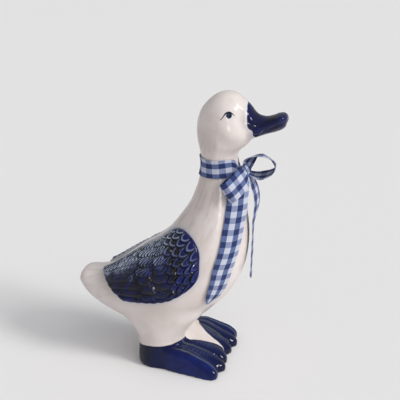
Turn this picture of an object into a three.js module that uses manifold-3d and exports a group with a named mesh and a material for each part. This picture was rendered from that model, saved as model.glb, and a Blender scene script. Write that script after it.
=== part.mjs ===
// Porcelain duck figurine with a gingham ribbon tied round its neck.
// Millimetres, +Z up. The duck faces +X, its right side is at -Y.
// The origin is on the ground, in the middle of the bounding box.
import * as THREE from "three";
import { mergeVertices } from "three/addons/utils/BufferGeometryUtils.js";
import Module from "manifold-3d";

const wasm = await Module();
wasm.setup();

const degree = Math.PI / 180;

// Colours of the glaze and of the ribbon
const glazeWhite = 0xe9e4dc;
const gingham = 0x5a6d9c;

// Trunk, neck and head: one tube of rings. Each station gives the point on the back,
// the point on the breast side, half the width, and how far the widest part sits
// toward the breast side (egg).
const trunkStations = [
  { at: "tail end", back: [-69.6, 55.6], front: [-70.3, 52.8], half: 4.5, egg: 0 },
  { at: "tail rim", back: [-68.6, 57.6], front: [-69.7, 50.2], half: 9.0, egg: 0 },
  { at: "tail lip", back: [-66.0, 59.2], front: [-67.4, 46.4], half: 12.6, egg: 0 },
  { at: "tail", back: [-59.0, 59.8], front: [-61.5, 40.2], half: 17.0, egg: 0 },
  { at: "tail root", back: [-49.5, 62.0], front: [-50.3, 33.4], half: 21.5, egg: 0 },
  { at: "rump", back: [-36.5, 70.8], front: [-35.0, 27.3], half: 27.0, egg: 0.05 },
  { at: "saddle", back: [-23.5, 80.6], front: [-13.5, 24.2], half: 30.5, egg: 0.08 },
  { at: "back", back: [-12.5, 87.8], front: [9.0, 28.0], half: 31.0, egg: 0.08 },
  { at: "shoulder", back: [-4.5, 95.4], front: [26.0, 40.5], half: 30.0, egg: 0.06 },
  { at: "breast", back: [2.3, 104.2], front: [37.8, 54.5], half: 27.5, egg: 0.05 },
  { at: "chest", back: [7.7, 112.2], front: [45.4, 72.6], half: 24.0, egg: 0.05 },
  { at: "throat", back: [10.8, 119.2], front: [47.5, 91.5], half: 20.3, egg: 0.03 },
  { at: "neck root", back: [13.6, 127.4], front: [45.6, 109.8], half: 17.0, egg: 0 },
  { at: "low neck", back: [15.3, 135.4], front: [42.2, 124.4], half: 14.4, egg: 0 },
  { at: "neck", back: [15.7, 142.0], front: [39.6, 138.0], half: 13.0, egg: 0 },
  { at: "neck top", back: [14.3, 148.8], front: [39.4, 148.0], half: 13.0, egg: 0 },
  { at: "jaw", back: [13.0, 155.0], front: [45.5, 153.3], half: 14.6, egg: -0.06 },
  { at: "cheek", back: [12.4, 161.4], front: [48.8, 159.0], half: 16.0, egg: -0.08 },
  { at: "eye", back: [13.0, 168.0], front: [47.6, 166.4], half: 16.3, egg: -0.08 },
  { at: "brow", back: [14.8, 173.8], front: [45.8, 173.4], half: 15.4, egg: -0.08 },
  { at: "forehead", back: [18.0, 178.8], front: [44.6, 179.0], half: 13.2, egg: -0.05 },
  { at: "crown", back: [22.4, 183.0], front: [42.0, 183.2], half: 9.8, egg: -0.02 },
  { at: "top", back: [27.8, 186.2], front: [37.6, 186.3], half: 5.2, egg: 0 },
  { at: "peak", back: [31.4, 187.2], front: [34.4, 187.2], half: 1.6, egg: 0 },
];
const trunkSegments = 24;
const tailRound = 0.5;
const crownRound = 0.2;

// Bill: a broad upper half that overhangs a narrower lower one
const upperBillStations = [
  { at: "root", back: [43.0, 182.0], front: [44.5, 159.6], half: 10.4, egg: 0.25 },
  { at: "face", back: [47.9, 178.6], front: [48.8, 160.8], half: 10.0, egg: 0.25 },
  { at: "slope", back: [52.4, 174.2], front: [52.6, 162.5], half: 9.1, egg: 0.25 },
  { at: "waist", back: [57.0, 171.3], front: [57.0, 164.0], half: 8.4, egg: 0.2 },
  { at: "spoon", back: [62.0, 171.9], front: [62.6, 166.2], half: 8.6, egg: 0 },
  { at: "nail", back: [66.6, 174.0], front: [67.8, 168.2], half: 8.0, egg: -0.1 },
  { at: "tip", back: [69.6, 173.2], front: [70.1, 169.6], half: 5.0, egg: -0.1 },
];
const lowerBillStations = [
  { at: "root", back: [42.0, 170.0], front: [46.0, 155.8], half: 10.0, egg: -0.2 },
  { at: "corner", back: [49.0, 169.0], front: [51.2, 157.8], half: 9.3, egg: -0.2 },
  { at: "middle", back: [56.0, 169.6], front: [57.8, 160.4], half: 7.9, egg: -0.3 },
  { at: "front", back: [62.0, 170.6], front: [63.4, 162.6], half: 7.6, egg: -0.3 },
  { at: "tip", back: [66.8, 171.6], front: [68.0, 165.4], half: 5.8, egg: -0.3 },
  { at: "end", back: [68.6, 171.4], front: [69.2, 167.8], half: 3.4, egg: 0 },
];

const billSegments = 12;
const billRound = 0.7;

// Legs: flat rings from the heel on the ground up into the belly. side is the distance of the
// ring's middle from the duck's own middle.
const legStations = [
  { at: "ground", back: [-24.9, 0], front: [5.0, 0], half: 13.2, egg: 0, side: 14.8 },
  { at: "heel", back: [-25.1, 6], front: [5.6, 7], half: 12.9, egg: 0, side: 14.8 },
  { at: "ankle", back: [-24.9, 12.5], front: [6.4, 14.5], half: 11.8, egg: 0, side: 14.6 },
  { at: "shank", back: [-25.7, 19], front: [7.4, 21.5], half: 12.3, egg: 0, side: 14.2 },
  { at: "knee", back: [-30.4, 26], front: [11.4, 28], half: 13.9, egg: 0, side: 13.5 },
  { at: "thigh", back: [-37.5, 34], front: [18.6, 36], half: 15.9, egg: 0, side: 12.5 },
  { at: "hip", back: [-38.5, 44], front: [20.0, 46], half: 17.3, egg: 0, side: 12.3 },
  { at: "waist", back: [-34.0, 56], front: [16.0, 58], half: 17.6, egg: 0, side: 12.6 },
];
const legSegments = 18;
const legRound = 0.5;

// Wings: a raised patch on the trunk. Its front edge runs from the shoulder down,
// its rear edge from the top of the tail down. place is the way along the trunk in
// millimetres, turn the angle round it from the back.
const wingFront = [
  { share: 0.0, place: 92.5, turn: 24 },
  { share: 0.18, place: 102.5, turn: 44 },
  { share: 0.36, place: 107.0, turn: 64 },
  { share: 0.54, place: 106.5, turn: 81 },
  { share: 0.72, place: 101.5, turn: 92 },
  { share: 0.88, place: 94.5, turn: 102 },
  { share: 1.0, place: 85.0, turn: 103 },
];
const wingRear = [
  { share: 0.0, place: 17.5, turn: 12 },
  { share: 0.25, place: 19.6, turn: 28 },
  { share: 0.5, place: 24.2, turn: 51 },
  { share: 0.75, place: 30.8, turn: 74 },
  { share: 1.0, place: 41.0, turn: 94 },
];
const wingTopSag = 6;
const wingRowLean = 0.3;
const wingThickness = 2.0;
const wingTopThickness = 0.9;
const wingTopThin = 0.3;
const wingSunk = -1.4;
const wingEdgeDrop = 0.8;
const wingColumns = 28;
// Rows of feathers from the shoulder to the tip: where each row starts along the
// wing, and how high its feather ends stand. Every row has the same number of
// feathers, set half a feather further in each next row.
const featherRows = [
  { start: 0.0, lift: 0.9 },
  { start: 0.09, lift: 0.9 },
  { start: 0.175, lift: 0.9 },
  { start: 0.26, lift: 1.0 },
  { start: 0.345, lift: 1.0 },
  { start: 0.49, lift: 1.1 },
  { start: 0.65, lift: 1.1 },
];
const feathersAcross = 7;
const featherValley = 0.7;
const featherScallop = 0.022;
const featherStep = 0.005;

// Feet: a webbed foot with three toes, blunt and thick like the cast one. across
// goes from 0 at the outer edge to 1 at the inner edge.
const footBackX = -15;
const footOuterEdge = [
  { x: -15, y: 22.8 },
  { x: -8, y: 26.4 },
  { x: 0, y: 29.4 },
  { x: 13, y: 32.4 },
  { x: 23, y: 34.6 },
  { x: 29, y: 35.8 },
  { x: 36, y: 36.4 },
];
const footInnerEdge = [
  { x: -15, y: 9 },
  { x: 0, y: 7 },
  { x: 8, y: 7 },
  { x: 20, y: 3 },
  { x: 28, y: 1.2 },
  { x: 36, y: 1.4 },
];
const toeTips = { outer: 33.8, middle: 36.6, inner: 35.0 };
const toeNotch = 31.5;
const footRows = [0, 0.2, 0.36, 0.5, 0.62, 0.74, 0.84, 0.91, 0.96, 0.99, 1];
const footColumns = [0, 0.03, 0.1, 0.18, 0.26, 0.34, 0.42, 0.52, 0.6, 0.68, 0.78, 0.88, 1];
const footHeight = 15.5;
const footSlope = { start: 20.0, fall: 0.4 };
const footWall = { foot: 0.35, shoulder: 0.75, rounding: 0.94 };
const toeRadius = 7;
const toeLip = 3.6;
const toeOverhang = 2.6;
const footUndercut = 1.2;
const grooveDepth = 0.9;
const grooveGrowsTo = 14;

// The apron: white porcelain that fills the space between the feet
const apronColumns = [-1, -0.8, -0.4, 0, 0.4, 0.8, 1];
const apronRounding = 1.2;
const apronStations = [
  { x: -19.0, top: 20, half: 8 },
  { x: -12.0, top: 33, half: 10 },
  { x: -4.0, top: 31, half: 12 },
  { x: 1.0, top: 25.5, half: 14 },
  { x: 5.0, top: 20.6, half: 15 },
  { x: 10.0, top: 16.8, half: 14.5 },
  { x: 16.0, top: 13.8, half: 9.5 },
  { x: 22.0, top: 11.5, half: 5.5 },
  { x: 28.0, top: 9.0, half: 3 },
  { x: 31.0, top: 7.0, half: 2 },
];

// Ribbon: woven cloth 15 mm wide, cupped to a little less across in the loops and
// gathered to less still at the knot. The solid is thicker than the cloth itself.
const loopWidth = 13.2;
const knotWidth = 9;
const gatherLength = 12;
const farTailTipWidth = 2.5;
const clothThickness = 0.7;
const clothGap = 0.4;
const bandWidth = 11.4;
const bandPlace = 162.2;
const bandLean = 3.5;
const bandSteps = 28;
const bandEnds = [185, 537];
const knot = { middle: [45.0, -3.0, 136.4], radii: [4.8, 5.2, 5.8], around: 12, high: 8 };
const loopSteps = 18;
// Loop toward the viewer's side: a flat teardrop that hangs from the knot
const nearLoop = [
  { middle: [46.0, -4.0, 136.4], across: [0.38, 0.3, -0.87] },
  { middle: [46.4, -11.4, 134.8], across: [0.38, 0.3, -0.87] },
  { middle: [43.4, -18.0, 130.8], across: [0.38, 0.3, -0.87] },
  { middle: [39.2, -21.2, 126.4], across: [0.38, 0.3, -0.87] },
  { middle: [37.2, -20.2, 125.0], across: [0.38, 0.3, -0.87] },
  { middle: [39.4, -16.6, 127.8], across: [0.38, 0.3, -0.87] },
  { middle: [42.6, -11.8, 131.4], across: [0.38, 0.3, -0.87] },
  { middle: [45.4, -3.4, 135.8], across: [0.38, 0.3, -0.87] },
];
// Loop on the far side: an open ring that stands out in front of the knot
const farLoop = [
  { middle: [45.4, -1.5, 136.8], across: [0.36, 0.9, -0.25] },
  { middle: [46.8, 1.5, 141.0], across: [0.36, 0.9, -0.25] },
  { middle: [49.6, 3.0, 144.0], across: [0.2, 0.95, -0.2] },
  { middle: [54.0, 3.2, 145.0], across: [-0.05, 0.98, -0.12] },
  { middle: [59.4, 3.4, 143.2], across: [-0.16, 0.96, -0.2] },
  { middle: [63.2, 3.5, 139.4], across: [-0.23, 0.92, -0.3] },
  { middle: [62.6, 3.5, 136.0], across: [-0.2, 0.95, -0.2] },
  { middle: [58.4, 3.4, 133.0], across: [-0.05, 0.99, 0] },
  { middle: [52.6, 3.0, 131.8], across: [0, 0.99, 0.1] },
  { middle: [46.2, -1.0, 134.8], across: [0, 1, 0] },
];
// Tail that hangs free in front of the breast, seen nearly edge on
const farTail = [
  { middle: [46.4, 0.0, 134.6], across: [0.1, 0.99, 0] },
  { middle: [49.2, 1.8, 126.4], across: [0.05, 1, 0] },
  { middle: [50.8, 2.6, 121.0], across: [0, 1, 0] },
  { middle: [51.3, 3.0, 115.0], across: [0, 1, 0] },
  { middle: [50.7, 3.0, 108.0], across: [-0.05, 1, 0] },
  { middle: [49.4, 3.0, 101.0], across: [-0.15, 0.99, 0] },
  { middle: [49.0, 2.8, 93.0], across: [-0.2, 0.98, 0] },
  { middle: [49.3, 2.8, 86.0], across: [-0.12, 0.99, 0] },
  { middle: [49.2, 2.8, 78.0], across: [-0.1, 0.99, 0] },
  { middle: [48.8, 2.8, 69.0], across: [-0.1, 0.99, 0] },
  { middle: [48.3, 2.8, 60.5], across: [-0.1, 0.99, 0] },
];
const tailSteps = 16;
const farTailTip = 8;
// Tail that lies down the breast: its two edges in the trunk's own coordinates,
// with their height over the porcelain
const nearTail = [
  { left: [160.5, 158, 3.6], right: [161.5, 182, 5.2] },
  { left: [151.8, 120, 1.0], right: [153.4, 163, 6.0] },
  { left: [142.3, 111, 0.5], right: [145.6, 152, 4.2] },
  { left: [129.7, 106, 0.5], right: [135.4, 141, 2.4] },
  { left: [120.9, 106, 0.5], right: [128.1, 139, 1.1] },
  { left: [112.4, 108, 0.5], right: [120.2, 136, 0.6] },
  { left: [105.6, 111, 0.7], right: [113.2, 136, 0.5] },
  { left: [99.7, 117, 0.9], right: [107.0, 138, 0.5] },
  { left: [94.2, 124, 1.2], right: [100.5, 143, 0.6] },
  { left: [91.2, 128, 1.4], right: [91.5, 148, 0.8] },
];
const nearTailColumns = 3;

// Smooth values between stations: a curve through the given rows of numbers.
function curveThrough(knots, rows) {
  const last = knots.length - 1;
  const slopes = [];
  for (let i = 0; i < last; i++) {
    slopes.push(rows[i].map((v, k) => (rows[i + 1][k] - v) / (knots[i + 1] - knots[i])));
  }
  const tangents = rows.map((row, i) => {
    if (i === 0) return slopes[0];
    if (i === last) return slopes[last - 1];
    const before = knots[i] - knots[i - 1];
    const after = knots[i + 1] - knots[i];
    const weighted = (k) => slopes[i - 1][k] * after + slopes[i][k] * before;
    return row.map((_, k) => weighted(k) / (before + after));
  });
  return (place) => {
    const at = Math.min(Math.max(place, knots[0]), knots[last]);
    let i = 0;
    while (i < last - 1 && at > knots[i + 1]) i++;
    const step = knots[i + 1] - knots[i];
    const s = (at - knots[i]) / step;
    const a = 2 * s ** 3 - 3 * s ** 2 + 1;
    const b = (s ** 3 - 2 * s ** 2 + s) * step;
    const c = 3 * s ** 2 - 2 * s ** 3;
    const d = (s ** 3 - s ** 2) * step;
    const bend = (k) => b * tangents[i][k] + d * tangents[i + 1][k];
    return rows[i].map((v, k) => a * v + c * rows[i + 1][k] + bend(k));
  };
}

// A closed solid from points and triangles, turned outward.
function solidFrom(points, triangles) {
  const build = (order) =>
    new wasm.Manifold(
      new wasm.Mesh({
        numProp: 3,
        vertProperties: Float32Array.from(points.flat()),
        triVerts: Uint32Array.from(triangles.flatMap(order)),
      }),
    );
  const made = build((t) => t);
  return made.volume() > 0 ? made : build((t) => [t[0], t[2], t[1]]);
}

// A tube through rings of points, closed by a point at each end.
function closedTube(rings, startPoint, endPoint) {
  const count = rings[0].length;
  const points = [...rings.flat(), startPoint, endPoint];
  const triangles = [];
  rings.slice(1).forEach((ring, i) => {
    for (let j = 0; j < count; j++) {
      const a = i * count + j;
      const b = i * count + ((j + 1) % count);
      triangles.push([a, b, b + count], [a, b + count, a + count]);
    }
  });
  const start = points.length - 2;
  const end = points.length - 1;
  const lastRing = (rings.length - 1) * count;
  for (let j = 0; j < count; j++) {
    const next = (j + 1) % count;
    triangles.push([start, next, j], [end, lastRing + j, lastRing + next]);
  }
  return solidFrom(points, triangles);
}

// A slab between an upper and a lower grid of points.
function slab(upper, lower) {
  const rows = upper.length;
  const cols = upper[0].length;
  const points = [...upper.flat(), ...lower.flat()];
  const under = rows * cols;
  const triangles = [];
  const quad = (a, b, c, d) => triangles.push([a, b, c], [a, c, d]);
  for (let i = 0; i < rows - 1; i++) {
    for (let j = 0; j < cols - 1; j++) {
      const a = i * cols + j;
      quad(a, a + 1, a + cols + 1, a + cols);
      quad(under + a, under + a + cols, under + a + cols + 1, under + a + 1);
    }
  }
  for (let i = 0; i < rows - 1; i++) {
    const a = i * cols;
    const b = a + cols - 1;
    quad(a, a + cols, under + a + cols, under + a);
    quad(b, under + b, under + b + cols, b + cols);
  }
  for (let j = 0; j < cols - 1; j++) {
    const a = j;
    const b = (rows - 1) * cols + j;
    quad(a, under + a, under + a + 1, a + 1);
    quad(b, b + 1, under + b + 1, under + b);
  }
  return solidFrom(points, triangles);
}

// A body of rings set by stations. point(place, turn) gives its surface.
function ringBody(stations) {
  const rows = stations.map((s) => [...s.back, ...s.front, s.half, s.egg, s.side ?? 0]);
  const knots = [0];
  rows.slice(1).forEach((row, i) => {
    const was = rows[i];
    const alongX = (row[0] + row[2] - was[0] - was[2]) / 2;
    const alongZ = (row[1] + row[3] - was[1] - was[3]) / 2;
    knots.push(knots[i] + Math.hypot(alongX, alongZ));
  });
  const values = curveThrough(knots, rows);
  const length = knots[knots.length - 1];
  const point = (place, turn) => {
    const [backX, backZ, frontX, frontZ, half, egg, side] = values(place);
    const c = Math.cos(turn);
    const s = Math.sin(turn);
    const x = (backX + frontX) / 2 + ((backX - frontX) / 2) * c;
    const z = (backZ + frontZ) / 2 + ((backZ - frontZ) / 2) * c;
    return [x, -side - half * s * (1 - egg * c), z];
  };
  const solid = (segments, ringsPerStation, startRound, endRound) => {
    const rings = [];
    const ringCount = (knots.length - 1) * ringsPerStation + 1;
    for (let i = 0; i < ringCount; i++) {
      const from = Math.min(Math.floor(i / ringsPerStation), knots.length - 2);
      const share = i / ringsPerStation - from;
      const place = knots[from] + share * (knots[from + 1] - knots[from]);
      const turns = Array.from({ length: segments }, (_, j) => (2 * Math.PI * j) / segments);
      rings.push(turns.map((turn) => point(place, turn)));
    }
    const middle = (ring) => {
      const sum = new THREE.Vector3();
      ring.forEach((p) => sum.add(new THREE.Vector3(...p)));
      return sum.divideScalar(ring.length).toArray();
    };
    const beyond = (from, toward, distance) => {
      const ray = new THREE.Vector3(...from).sub(new THREE.Vector3(...toward)).setLength(distance);
      return new THREE.Vector3(...from).add(ray).toArray();
    };
    const first = middle(rings[0]);
    const last = middle(rings[ringCount - 1]);
    return closedTube(
      rings,
      beyond(first, middle(rings[1]), startRound),
      beyond(last, middle(rings[ringCount - 2]), endRound),
    );
  };
  return { point, solid, length };
}

// A point lifted off a ring body along its outward normal.
function liftedPoint(body, place, turn, lift) {
  const small = 0.01;
  const along = new THREE.Vector3(...body.point(place + small, turn));
  along.sub(new THREE.Vector3(...body.point(place - small, turn)));
  const round = new THREE.Vector3(...body.point(place, turn + small));
  round.sub(new THREE.Vector3(...body.point(place, turn - small)));
  const normal = round.cross(along).normalize();
  return new THREE.Vector3(...body.point(place, turn)).addScaledVector(normal, lift).toArray();
}

// A solid from a three.js geometry.
function solidOf(geometry) {
  geometry.deleteAttribute("normal");
  geometry.deleteAttribute("uv");
  const merged = mergeVertices(geometry, 1e-4);
  return new wasm.Manifold(
    new wasm.Mesh({
      numProp: 3,
      vertProperties: merged.attributes.position.array,
      triVerts: new Uint32Array(merged.index.array),
    }),
  );
}

const trunk = ringBody(trunkStations);
const { lerp, smoothstep } = THREE.MathUtils;

// Wing surface from its own coordinates: along 0 at the shoulder edge to 1 at the
// tip, across 0 at the back to 1 at the flank.
function edgeCurve(edge) {
  const shares = edge.map((s) => s.share);
  return curveThrough(shares, edge.map((s) => [s.place, s.turn]));
}
const frontEdge = edgeCurve(wingFront);
const rearEdge = edgeCurve(wingRear);
function wingPoint(along, across, lift) {
  const [frontPlace, frontTurn] = frontEdge(across);
  const [rearPlace, rearTurn] = rearEdge(across);
  const middle = 4 * along * (1 - along);
  const leaned = along - wingRowLean * Math.max(0, 0.5 - across) * middle;
  const sag = wingTopSag * middle * (1 - across) ** 2;
  const turn = lerp(frontTurn, rearTurn, leaned) - sag;
  return liftedPoint(trunk, lerp(frontPlace, rearPlace, leaned), turn * degree, lift);
}

// Each row of feathers rises to its scalloped end and steps down to the next row.
function wing() {
  const upper = [];
  const lower = [];
  const fromMiddle = (row, across) => {
    const phase = across * feathersAcross + (row % 2) / 2;
    return 2 * Math.abs(phase - Math.floor(phase) - 0.5);
  };
  const lineAt = (row, across) => {
    if (row === 0) return 0;
    if (row === featherRows.length) return 1;
    return featherRows[row].start + featherScallop * (1 - 2 * fromMiddle(row - 1, across) ** 2);
  };
  const addLine = (alongAt, liftAt) => {
    const columns = Array.from({ length: wingColumns + 1 }, (_, j) => j / wingColumns);
    const rim = (across) => (across === 0 || across === 1 ? wingEdgeDrop : 0);
    const thick = (c) => lerp(wingTopThickness, wingThickness, smoothstep(c, 0, wingTopThin));
    upper.push(columns.map((c) => wingPoint(alongAt(c), c, thick(c) + liftAt(c) - rim(c))));
    lower.push(columns.map((c) => wingPoint(alongAt(c), c, wingSunk)));
  };
  featherRows.forEach((row, i) => {
    const crown = (across) => row.lift - featherValley * fromMiddle(i, across) ** 2;
    const from = (across) => lineAt(i, across) + (i === 0 ? 0 : featherStep);
    const to = (across) => lineAt(i + 1, across) - (i + 1 < featherRows.length ? featherStep : 0);
    const isLast = i + 1 === featherRows.length;
    addLine(from, () => (i === 0 ? -wingEdgeDrop : 0));
    addLine((c) => lerp(from(c), to(c), 0.4), (c) => crown(c) * 0.7);
    if (isLast) addLine((c) => lerp(from(c), to(c), 0.96), crown);
    addLine(to, (c) => (isLast ? -wingEdgeDrop : crown(c)));
  });
  return slab(upper, lower);
}

function bill() {
  const upper = ringBody(upperBillStations).solid(billSegments, 2, 0, billRound);
  const lower = ringBody(lowerBillStations).solid(billSegments, 2, 0, billRound);
  return upper.add(lower);
}

// Foot of the duck's right side.
function foot() {
  const edge = (points) => curveThrough(points.map((p) => p.x), points.map((p) => [p.y]));
  const outerEdge = edge(footOuterEdge);
  const innerEdge = edge(footInnerEdge);
  const upper = [];
  const lower = [];
  const toe = (across) => {
    const phase = Math.min(across, 0.9999) * 3;
    const fromMiddle = 2 * Math.abs(phase - Math.floor(phase) - 0.5);
    const tip = [toeTips.outer, toeTips.middle, toeTips.inner][Math.floor(phase)];
    return { tip: lerp(tip, toeNotch, fromMiddle ** 2.2), hollow: grooveDepth * fromMiddle ** 2 };
  };
  const wall = (across) => {
    if (across === 0) return footWall.foot;
    if (across === footColumns[1]) return footWall.shoulder;
    return across === footColumns[2] ? footWall.rounding : 1;
  };
  for (const share of footRows) {
    const top = [];
    const bottom = [];
    for (const across of footColumns) {
      const { tip, hollow } = toe(across);
      const x = lerp(footBackX, tip, share);
      const y = -lerp(outerEdge(x)[0], innerEdge(x)[0], across);
      const beyond = Math.max(0, x - (tip - toeRadius)) / toeRadius;
      const round = Math.sqrt(Math.max(0, 1 - beyond ** 2));
      const flat = Math.min(footHeight, footSlope.start - footSlope.fall * x);
      const crest = lerp(toeLip, flat, round);
      const valley = hollow * smoothstep(x, 0, grooveGrowsTo) * round;
      top.push([x, y, crest * wall(across) - valley]);
      bottom.push([x - toeOverhang * share ** 8, y + (across === 0 ? footUndercut : 0), 0]);
    }
    upper.push(top);
    lower.push(bottom);
  }
  return slab(upper, lower);
}

// The apron between the feet, the same on both sides.
function apron() {
  const row = (s, heightAt) => apronColumns.map((c) => [s.x, c * s.half, heightAt(c)]);
  const upper = apronStations.map((s) => row(s, (c) => s.top - apronRounding * c ** 4));
  const lower = apronStations.map((s) => row(s, () => 0));
  return slab(upper, lower);
}

// A strip of cloth along stations, each with its middle and the direction across.
function strip(stations, steps, widthAt) {
  const knots = [0];
  stations.slice(1).forEach((s, i) => {
    const was = new THREE.Vector3(...stations[i].middle);
    knots.push(knots[i] + was.distanceTo(new THREE.Vector3(...s.middle)));
  });
  const values = curveThrough(knots, stations.map((s) => [...s.middle, ...s.across]));
  const length = knots[knots.length - 1];
  const upper = [];
  const lower = [];
  for (let i = 0; i <= steps; i++) {
    const place = (length * i) / steps;
    const [x, y, z, ...across] = values(place);
    const ahead = new THREE.Vector3(...values(Math.min(place + 0.1, length)));
    const travel = ahead.sub(new THREE.Vector3(...values(Math.max(place - 0.1, 0))));
    const side = new THREE.Vector3(...across).normalize();
    const out = travel.cross(side).setLength(clothThickness / 2);
    const half = widthAt(place, length) / 2;
    const edge = (share, face) => {
      const point = new THREE.Vector3(x, y, z).addScaledVector(side, half * share);
      return point.addScaledVector(out, face).toArray();
    };
    upper.push([edge(-1, 1), edge(1, 1)]);
    lower.push([edge(-1, -1), edge(1, -1)]);
  }
  return slab(upper, lower);
}

// Cloth laid on the trunk: rows of points given as place, turn and height over it.
function laid(rows) {
  const raised = (extra) => ([place, turn, lift]) =>
    liftedPoint(trunk, place, turn * degree, lift + extra);
  const face = (extra) => rows.map((row) => row.map(raised(extra)));
  return slab(face(clothThickness), face(0));
}

function neckBand() {
  const rows = [];
  for (let i = 0; i <= bandSteps; i++) {
    const turn = lerp(bandEnds[0], bandEnds[1], i / bandSteps);
    const place = bandPlace - bandLean * Math.cos(turn * degree);
    const below = new THREE.Vector3(...trunk.point(place - 1, turn * degree));
    const stretch = below.distanceTo(new THREE.Vector3(...trunk.point(place + 1, turn * degree))) / 2;
    rows.push([-0.5, 0, 0.5].map((c) => [place + (c * bandWidth) / stretch, turn, clothGap]));
  }
  return laid(rows);
}

function breastTail() {
  const left = curveThrough(nearTail.map((_, i) => i), nearTail.map((s) => s.left));
  const right = curveThrough(nearTail.map((_, i) => i), nearTail.map((s) => s.right));
  const rows = [];
  for (let i = 0; i <= tailSteps; i++) {
    const at = ((nearTail.length - 1) * i) / tailSteps;
    const columns = Array.from({ length: nearTailColumns + 1 }, (_, j) => j / nearTailColumns);
    rows.push(columns.map((c) => left(at).map((v, k) => lerp(v, right(at)[k], c))));
  }
  return laid(rows);
}

function knotSolid() {
  const ball = new THREE.SphereGeometry(1, knot.around, knot.high);
  ball.scale(...knot.radii);
  ball.translate(...knot.middle);
  return solidOf(ball);
}

function gatheredWidth(place, length) {
  const fromEnd = Math.min(place, length - place);
  return lerp(knotWidth, loopWidth, Math.min(1, fromEnd / gatherLength));
}

function pointedWidth(place, length) {
  return lerp(farTailTipWidth, loopWidth, Math.min(1, (length - place) / farTailTip));
}

const oneSide = wing()
  .add(ringBody(legStations).solid(legSegments, 1, 0, legRound))
  .add(foot());
const porcelain = trunk
  .solid(trunkSegments, 2, tailRound, crownRound)
  .add(bill())
  .add(apron())
  .add(oneSide)
  .add(oneSide.mirror([0, 1, 0]));
const ribbon = neckBand()
  .add(knotSolid())
  .add(strip(nearLoop, loopSteps, gatheredWidth))
  .add(strip(farLoop, loopSteps, gatheredWidth))
  .add(strip(farTail, tailSteps, pointedWidth))
  .add(breastTail());

const part = new THREE.Group();
function addPiece(name, solid, look) {
  const mesh = solid.getMesh();
  const geometry = new THREE.BufferGeometry();
  geometry.setAttribute("position", new THREE.BufferAttribute(mesh.vertProperties, 3));
  geometry.setIndex(new THREE.BufferAttribute(mesh.triVerts, 1));
  const piece = new THREE.Mesh(geometry, new THREE.MeshStandardMaterial(look));
  piece.name = name;
  part.add(piece);
}
addPiece("porcelain_duck", porcelain, { color: glazeWhite, roughness: 0.15, metalness: 0 });
addPiece("gingham_ribbon", ribbon, { color: gingham, roughness: 0.85, metalness: 0 });

export default part;
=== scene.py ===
import math
import bpy
import numpy as np
from mathutils import Matrix, Vector
from mathutils.kdtree import KDTree


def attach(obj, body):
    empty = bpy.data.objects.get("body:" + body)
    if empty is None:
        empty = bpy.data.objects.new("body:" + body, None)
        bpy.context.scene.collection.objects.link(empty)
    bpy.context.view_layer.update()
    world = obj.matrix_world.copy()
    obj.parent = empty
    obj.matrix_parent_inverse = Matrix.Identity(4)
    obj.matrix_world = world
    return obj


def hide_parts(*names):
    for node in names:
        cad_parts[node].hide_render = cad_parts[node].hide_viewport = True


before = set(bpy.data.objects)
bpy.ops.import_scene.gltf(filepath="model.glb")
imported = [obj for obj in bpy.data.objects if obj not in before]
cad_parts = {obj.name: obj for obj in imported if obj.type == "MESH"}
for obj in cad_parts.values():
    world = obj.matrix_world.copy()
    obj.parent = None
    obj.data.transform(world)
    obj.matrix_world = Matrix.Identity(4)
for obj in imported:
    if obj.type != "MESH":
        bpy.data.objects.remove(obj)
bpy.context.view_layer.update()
scene = bpy.context.scene
mm = 0.001
print("frame loaded")

# camera, light and floor, in metres and degrees

cameraSetup = {
    "azimuth": 14.2, "elevation": 18.0, "distance": 0.6, "lens": 81.8, "sensor": 36,
    "target": (0.0142, 0, 0.113),
}
lightSetup = {
    "worldColour": (0.95, 0.965, 1.0, 1), "worldStrength": 0.46, "lampColour": (1, 0.985, 0.965),
    "lamps": {
        "daylight": {"kind": "SUN", "azimuth": 60, "elevation": 38, "power": 1.0, "angle": 70,
                     "away": 2, "at": (0, 0, 0.09), "glossy": False, "diffuse": True},
        "window": {"kind": "SUN", "azimuth": 76, "elevation": 33, "power": 1.75, "angle": 18,
                   "away": 2, "at": (0, 0, 0.09), "glossy": True, "diffuse": True},
        "gap": {"kind": "AREA", "azimuth": 19, "elevation": 9, "power": 0.0075, "size": (0.05, 0.05),
                "spread": 26, "away": 0.5, "at": (0.03, -0.01, 0.12), "glossy": True, "diffuse": False},
        "glance": {"kind": "AREA", "azimuth": 16, "elevation": 6, "power": 0.008, "size": (0.09, 0.03),
                   "spread": 5, "away": 0.5, "at": (-0.004, -0.03, 0.062), "glossy": True, "diffuse": False},
    },
}
floorSetup = {"size": 14, "colour": (0.84, 0.83, 0.83, 1), "roughness": 0.8}


def standBack(thing, setup, distance, target):
    # azimuth 0 looks from the front, 90 from the right
    azimuth, elevation = math.radians(setup["azimuth"]), math.radians(setup["elevation"])
    level = math.cos(elevation)
    way = Vector((math.sin(azimuth) * level, -math.cos(azimuth) * level, math.sin(elevation)))
    thing.location = Vector(target) + way * distance
    thing.rotation_euler = (Vector(target) - thing.location).to_track_quat("-Z", "Y").to_euler()
    scene.collection.objects.link(thing)


def addCamera(setup):
    camera = bpy.data.objects.new("camera", bpy.data.cameras.new("camera"))
    camera.data.lens = setup["lens"]
    camera.data.sensor_width = setup["sensor"]
    standBack(camera, setup, setup["distance"], setup["target"])
    scene.camera = camera


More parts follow.
